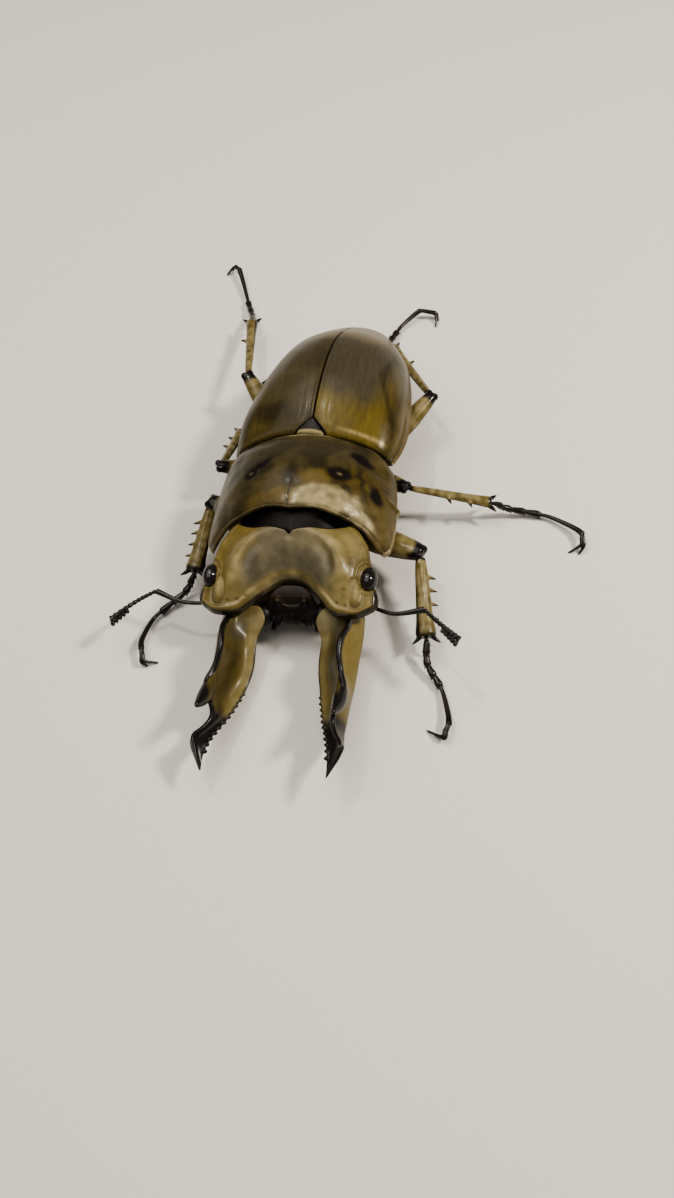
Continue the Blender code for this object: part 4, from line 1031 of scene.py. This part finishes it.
def paintBelly(point, normal):
    return 0.8 * ramp(3.4, 2.2, abs(point.y + 0.7)) * ramp(7.0, 6.2, abs(point.x)), 0, 0, 0


for node in ("prosternum", "rear_thorax", "abdomen"):
    first, *others = node.split("_")
    plate = softened(node)
    if node == "rear_thorax":  # the waist reaches in under the front thorax
        waist = ball(*underside["waist"], 40, 28)
        bmesh.ops.transform(waist, matrix=toFloor @ frames["rear"], verts=waist.verts)
        plate = gathered([plate, waist])
    finishPiece(first + "".join(other.title() for other in others) + "Plate", plate, "floor", "bellyShell",
                [node], paintBelly)
print("underside made")


# legs

coxae = {
    "where": {"front": "front", "middle": "rear", "hind": "rear"},
    "centre": {"front": (3.9, -9.2, 3.5), "middle": (5.0, 1.6, 3.5), "hind": (5.4, 7.3, 3.5)},
    "radii": {"front": (3.3, 1.7, 1.5), "middle": (2.9, 1.8, 1.4), "hind": (4.0, 1.7, 1.4)},
    "hip": {"front": (6.6, -9.1, 3.9), "middle": (7.0, 1.2, 3.9), "hind": (8.2, 8.2, 3.9)},
}
limbShape = {
    "femurFlat": 0.8, "femur": {"front": 1.95, "middle": 1.35, "hind": 1.4},
    "knee": {"front": 1.2, "middle": 0.9, "hind": 0.9},
    "tibia": {"front": 1.1, "middle": 0.72, "hind": 0.75},
    "spines": {"front": (0.23, 0.39, 0.56, 0.73), "middle": (0.47, 0.72), "hind": (0.6,)},
    "tibiaProfile": ((0, 0.55), (0.1, 0.68), (0.3, 0.8), (0.75, 1), (0.94, 1.2), (1, 1)),
    "tarsusEnds": (0, 5, 10, 15, 20, 40),  # where its segments end, in fortieths of its length
    "femurVoxel": 0.11, "tibiaVoxel": 0.075, "tarsusVoxel": 0.06, "bristleLength": 0.45,
}
legs = {
    "front_left": {
        "knee": (15.4, -12.7, 6.3), "ankle": (17.35, -23.9, 3.0),
        "tarsus": [(17.7, -26.3, 1.5), (19.4, -28.7, 0.75), (20.6, -31.5, 0.85), (21.1, -34.4, 1.4)],
        "claw": [(20.3, -35.9, 0.9), (18.2, -34.7, 0.05)]},
    "front_right": {
        "knee": (-13.6, -5.8, 4.9), "ankle": (-14.2, -16.6, 3.0),
        "tarsus": [(-15.2, -18.3, 1.5), (-17.8, -21.1, 0.75), (-19.5, -24.3, 0.85), (-19.1, -27.6, 1.4)],
        "claw": [(-18.3, -29.1, 0.9), (-16.6, -28.6, 0.05)]},
    "middle_left": {
        "knee": (12.2, -1.9, 6.0), "ankle": (24.2, -1.2, 3.0),
        "tarsus": [(26.2, -0.8, 1.5), (30.1, -0.8, 0.75), (33.6, -1.9, 0.85), (36.1, -4.1, 1.4)],
        "claw": [(35.9, -5.7, 0.9), (34.2, -6.5, 0.05)]},
    "middle_right": {
        "knee": (-13.2, -0.7, 6.4), "ankle": (-12.6, 9.8, 2.2),
        "tarsus": [(-12.3, 11.8, 1.1), (-11.6, 14.8, 0.75), (-10.8, 17.6, 0.85), (-10.2, 19.9, 1.3)],
        "claw": [(-10.9, 21.3, 0.9), (-12.4, 21.0, 0.05)]},
    "hind_left": {
        "knee": (14.2, 13.9, 6.9), "ankle": (6.8, 27.8, 2.6),
        "tarsus": [(6.3, 29.8, 1.4), (7.0, 32.6, 0.75), (8.3, 35.2, 0.85), (10.2, 37.0, 1.4)],
        "claw": [(12.6, 36.6, 0.9), (12.8, 34.6, 0.05)]},
    "hind_right": {
        "knee": (-12.4, 15.9, 6.9), "ankle": (-15.1, 31.3, 3.2),
        "tarsus": [(-15.8, 34.0, 1.6), (-17.2, 37.6, 0.75), (-18.5, 41.2, 0.85), (-19.9, 44.6, 1.4)],
        "claw": [(-21.2, 45.5, 0.9), (-22.3, 44.3, 0.05)]},
}


def hipOf(row, side):
    return toFloor @ (frames[coxae["where"][row]] @ toSide(coxae["hip"][row], side))


def makeFemur(row, side, leg):
    hip, knee = hipOf(row, side), Vector(leg["knee"])
    thick, kneeSize = limbShape["femur"][row], limbShape["knee"][row]
    along = (knee - hip).normalized()
    sizes = ((0, 0.7 * thick), (0.12, 0.9 * thick), (0.42, thick),
             (0.75, mix(thick, kneeSize, 0.4)), (1, kneeSize))
    line = [*taper(hip, knee, sizes), (knee + along * 0.6, 0.5 * kneeSize)]
    sideways = along.cross(upward).normalized()
    lobes = [ball(knee + sideways * turn * 0.55 * kneeSize + along * 0.25, (0.5, 0.5, 0.62), 16, 10)
             for turn in (1, -1)]
    return fused([limb(line, 40, 50, limbShape["femurFlat"]), *lobes], limbShape["femurVoxel"], 3)


def paintFemur(row, side, leg):
    hip, knee = hipOf(row, side), Vector(leg["knee"])
    reach = (knee - hip).length
    along = (knee - hip).normalized()

    def paint(point, normal):
        place = (point - hip).dot(along)
        cloud = noise(point * 0.9)
        atKnee = ramp(reach - 1.3 + 0.6 * cloud, reach - 0.5 + 0.6 * cloud, place)
        black = max(atKnee, 0.75 * ramp(0.25, -0.1, normal.z), ramp(1.4, 0.6, place))
        return black, 0, max(0.2 + 0.5 * cloud, 0), 0.5
    return paint


def tibiaLine(row, leg):
    knee, ankle = Vector(leg["knee"]), Vector(leg["ankle"])
    along = (ankle - knee).normalized()
    start = knee + along * 0.6 * limbShape["knee"][row]
    end = ankle - along * 0.45
    out = along.cross(upward).normalized()
    if out.x * ankle.x < 0:
        out = -out
    return start, end, along, out


def makeTibia(row, leg):
    start, end, along, out = tibiaLine(row, leg)
    thick = limbShape["tibia"][row]

    def spine(at, outward, tip, sizes):
        return limb(list(zip((at + outward * 0.3 * thick, at.lerp(tip, 0.6), tip), sizes)), 10, 12)

    sizes = [(share, size * thick) for share, size in limbShape["tibiaProfile"]]
    parts = [limb(taper(start, end, sizes), 28, 60, 0.75)]
    crest = [(start.lerp(end, t) + Vector((0, 0, 0.55 * thick * mix(0.8, 1, t))), 0.24 * thick)
             for t in (0.08, 0.4, 0.7, 0.97)]
    parts.append(limb(crest, 10, 40))
    for share in limbShape["spines"][row]:
        at = start.lerp(end, share)
        parts.append(spine(at, out, at + out * (thick + 0.8) + along * 0.6, (0.4, 0.25, 0.06)))
    for outward in (out, -out):  # an end tooth and a spur on each side
        tip = end + outward * (thick + 0.75) + along * 0.8
        parts.append(spine(start.lerp(end, 0.93), outward, tip, (0.42, 0.3, 0.08)))
        spur = end + outward * 0.45 * thick + along * 1.1 - Vector((0, 0, 0.35))
        parts.append(limb(taper(end, spur, ((0, 0.22), (0.5, 0.17), (1, 0.05))), 8, 10))
    return fused(parts, limbShape["tibiaVoxel"], 1)


def paintTibia(row, leg):
    start, end, along, out = tibiaLine(row, leg)
    reach = (end - start).length
    thick = limbShape["tibia"][row]

    def paint(point, normal):
        place = (point - start).dot(along)
        offAxis = point - start - along * place
        cloud = noise(point * 1.1)
        black = max(ramp(0.9, 0.25, place + 0.4 * cloud),
                    ramp(reach - 0.9, reach - 0.1, place + 0.5 * cloud),
                    ramp(1.15, 1.45, offAxis.length / thick), ramp(0.6, 0.85, -offAxis.dot(out) / thick),
                    0.8 * ramp(0.1, -0.2, normal.z))
        return black, 0, max(0.2 + 0.5 * cloud, 0), 0.3
    return paint


def makeTarsus(leg):
    path = pathThrough([leg["ankle"], *leg["tarsus"]])
    points = [path(k / 40) for k in range(41)]
    parts = []
    for first, last in zip(limbShape["tarsusEnds"], limbShape["tarsusEnds"][1:]):
        thin, thick = (0.28, 0.52) if last < 40 else (0.26, 0.42)
        ahead = points[last] - points[last - 1]
        over = points[min(last + 1, 40)] + ahead * 0.4
        parts.append(limb([
            (points[max(first - 1, 0)], thin), (points[(3 * first + last) // 4], mix(thin, thick, 0.3)),
            (points[(first + 3 * last) // 4], mix(thin, thick, 0.75)), (points[last], thick),
            (over, 0.55 * thick),
        ], 16, 24, 0.9))
        if last == 40:
            continue
        for turn in (1, -1):  # two short bristles under each segment's end
            sideways = ahead.cross(upward).normalized() * turn
            root = points[last] + sideways * 0.25 - Vector((0, 0, 0.2))
            forward = ahead.normalized() * limbShape["bristleLength"]
            tip = root + sideways * 0.3 + forward - Vector((0, 0, 0.1))
            tip.z = max(tip.z, 0.1)
            parts.append(limb(taper(root, tip, ((0, 0.13), (0.5, 0.1), (1, 0.05))), 6, 6))
    toe = points[-1]
    hook, tip = (Vector(point) for point in leg["claw"])
    sideways = (hook - toe).cross(upward).normalized()
    for spread in (0.1, 1.0):
        away = sideways * spread * (1 if sideways.dot(tip - toe) < 0 else -1)
        bend = hook + away * 0.5
        parts.append(limb([(toe, 0.32), (toe.lerp(bend, 0.5) + Vector((0, 0, 0.12)), 0.27), (bend, 0.25),
                           (tip + away * 1.6, 0.12)], 12, 24))
    bm = fused(parts, limbShape["tarsusVoxel"], 1)
    for corner in bm.verts:  # flat where it stands
        corner.co.z = max(corner.co.z, 0.0)
    return bm


for legName, leg in legs.items():
    row, sideName = legName.split("_")
    side = sides[sideName]
    coxa = ball(toSide(coxae["centre"][row], side), coxae["radii"][row], 40, 28)
    for kind, bm, where, finish, paint in (
        ("coxa", coxa, coxae["where"][row], "blackShell", None),
        ("femur", makeFemur(row, side, leg), "floor", "goldLimb", paintFemur(row, side, leg)),
        ("tibia", makeTibia(row, leg), "floor", "goldLimb", paintTibia(row, leg)),
        ("tarsus", makeTarsus(leg), "floor", "blackShell", None),
    ):
        finishPiece(f"{kind}{row.title()}{sideName.title()}", bm, where, finish,
                    [f"leg_{legName}_{kind}"], paint)
print("legs made")


# floor, lights and camera

studio = {
    "floorColour": (0.62, 0.59, 0.54), "floorSize": 1.2, "floorRoughness": 0.75,
    "lights": {  # power, size, place and colour
        "keyLight": (1.8, 0.05, (0.24, 0.03, 0.28), (1.0, 0.93, 0.82)),
        "fillLight": (1.6, 0.4, (-0.12, 0.02, 0.36), (1.0, 0.95, 0.88)),
        "glintLight": (0.25, 0.02, (-0.09, 0.05, 0.28), (1.0, 0.95, 0.86)),
    },
    "ambient": 0.22, "ambientColour": (1.0, 0.96, 0.9),
}
floorMesh = bpy.data.meshes.new("studioFloor")
bm = bmesh.new()
bmesh.ops.create_grid(bm, x_segments=1, y_segments=1, size=studio["floorSize"])
bm.to_mesh(floorMesh)
bm.free()
floor = bpy.data.objects.new("studioFloor", floorMesh)
bpy.context.scene.collection.objects.link(floor)
floorFinish = bpy.data.materials.new("floorFinish")
floorFinish.use_nodes = True
floorInputs = floorFinish.node_tree.nodes["Principled BSDF"].inputs
floorInputs["Base Color"].default_value = (*studio["floorColour"], 1)
floorInputs["Roughness"].default_value = studio["floorRoughness"]
floorMesh.materials.append(floorFinish)

for name, (power, size, place, colour) in studio["lights"].items():
    lamp = bpy.data.lights.new(name, "AREA")
    lamp.energy = power
    lamp.size = size
    lamp.color = colour
    light = bpy.data.objects.new(name, lamp)
    light.location = place
    light.rotation_euler = (Vector((0, 0, 0)) - Vector(place)).to_track_quat("-Z", "Y").to_euler()
    bpy.context.scene.collection.objects.link(light)
world = bpy.data.worlds.new("studioWorld")
world.use_nodes = True
worldInputs = world.node_tree.nodes["Background"].inputs
worldInputs["Color"].default_value = (*studio["ambientColour"], 1)
worldInputs["Strength"].default_value = studio["ambient"]
bpy.context.scene.world = world

view = {
    "position": (26.588, -103.152, 130.771), "forward": (-0.13795, 0.54638, -0.82610),
    "up": (-0.07825, 0.82545, 0.55902), "right": (0.98734, 0.14176, -0.07112),
    "lens": 36 * 1200 / 1198,
}
camera = bpy.data.cameras.new("photoCamera")
camera.sensor_fit = "VERTICAL"
camera.sensor_height = 36
camera.lens = view["lens"]
camera.clip_start = 0.005
cameraObject = bpy.data.objects.new("photoCamera", camera)
turn = Matrix((view["right"], view["up"], [-c for c in view["forward"]])).transposed().to_4x4()
cameraObject.matrix_world = Matrix.Translation((frames["floor"] @ Vector(view["position"])) * mm) @ turn
bpy.context.scene.collection.objects.link(cameraObject)
bpy.context.scene.camera = cameraObject
print("studio made")
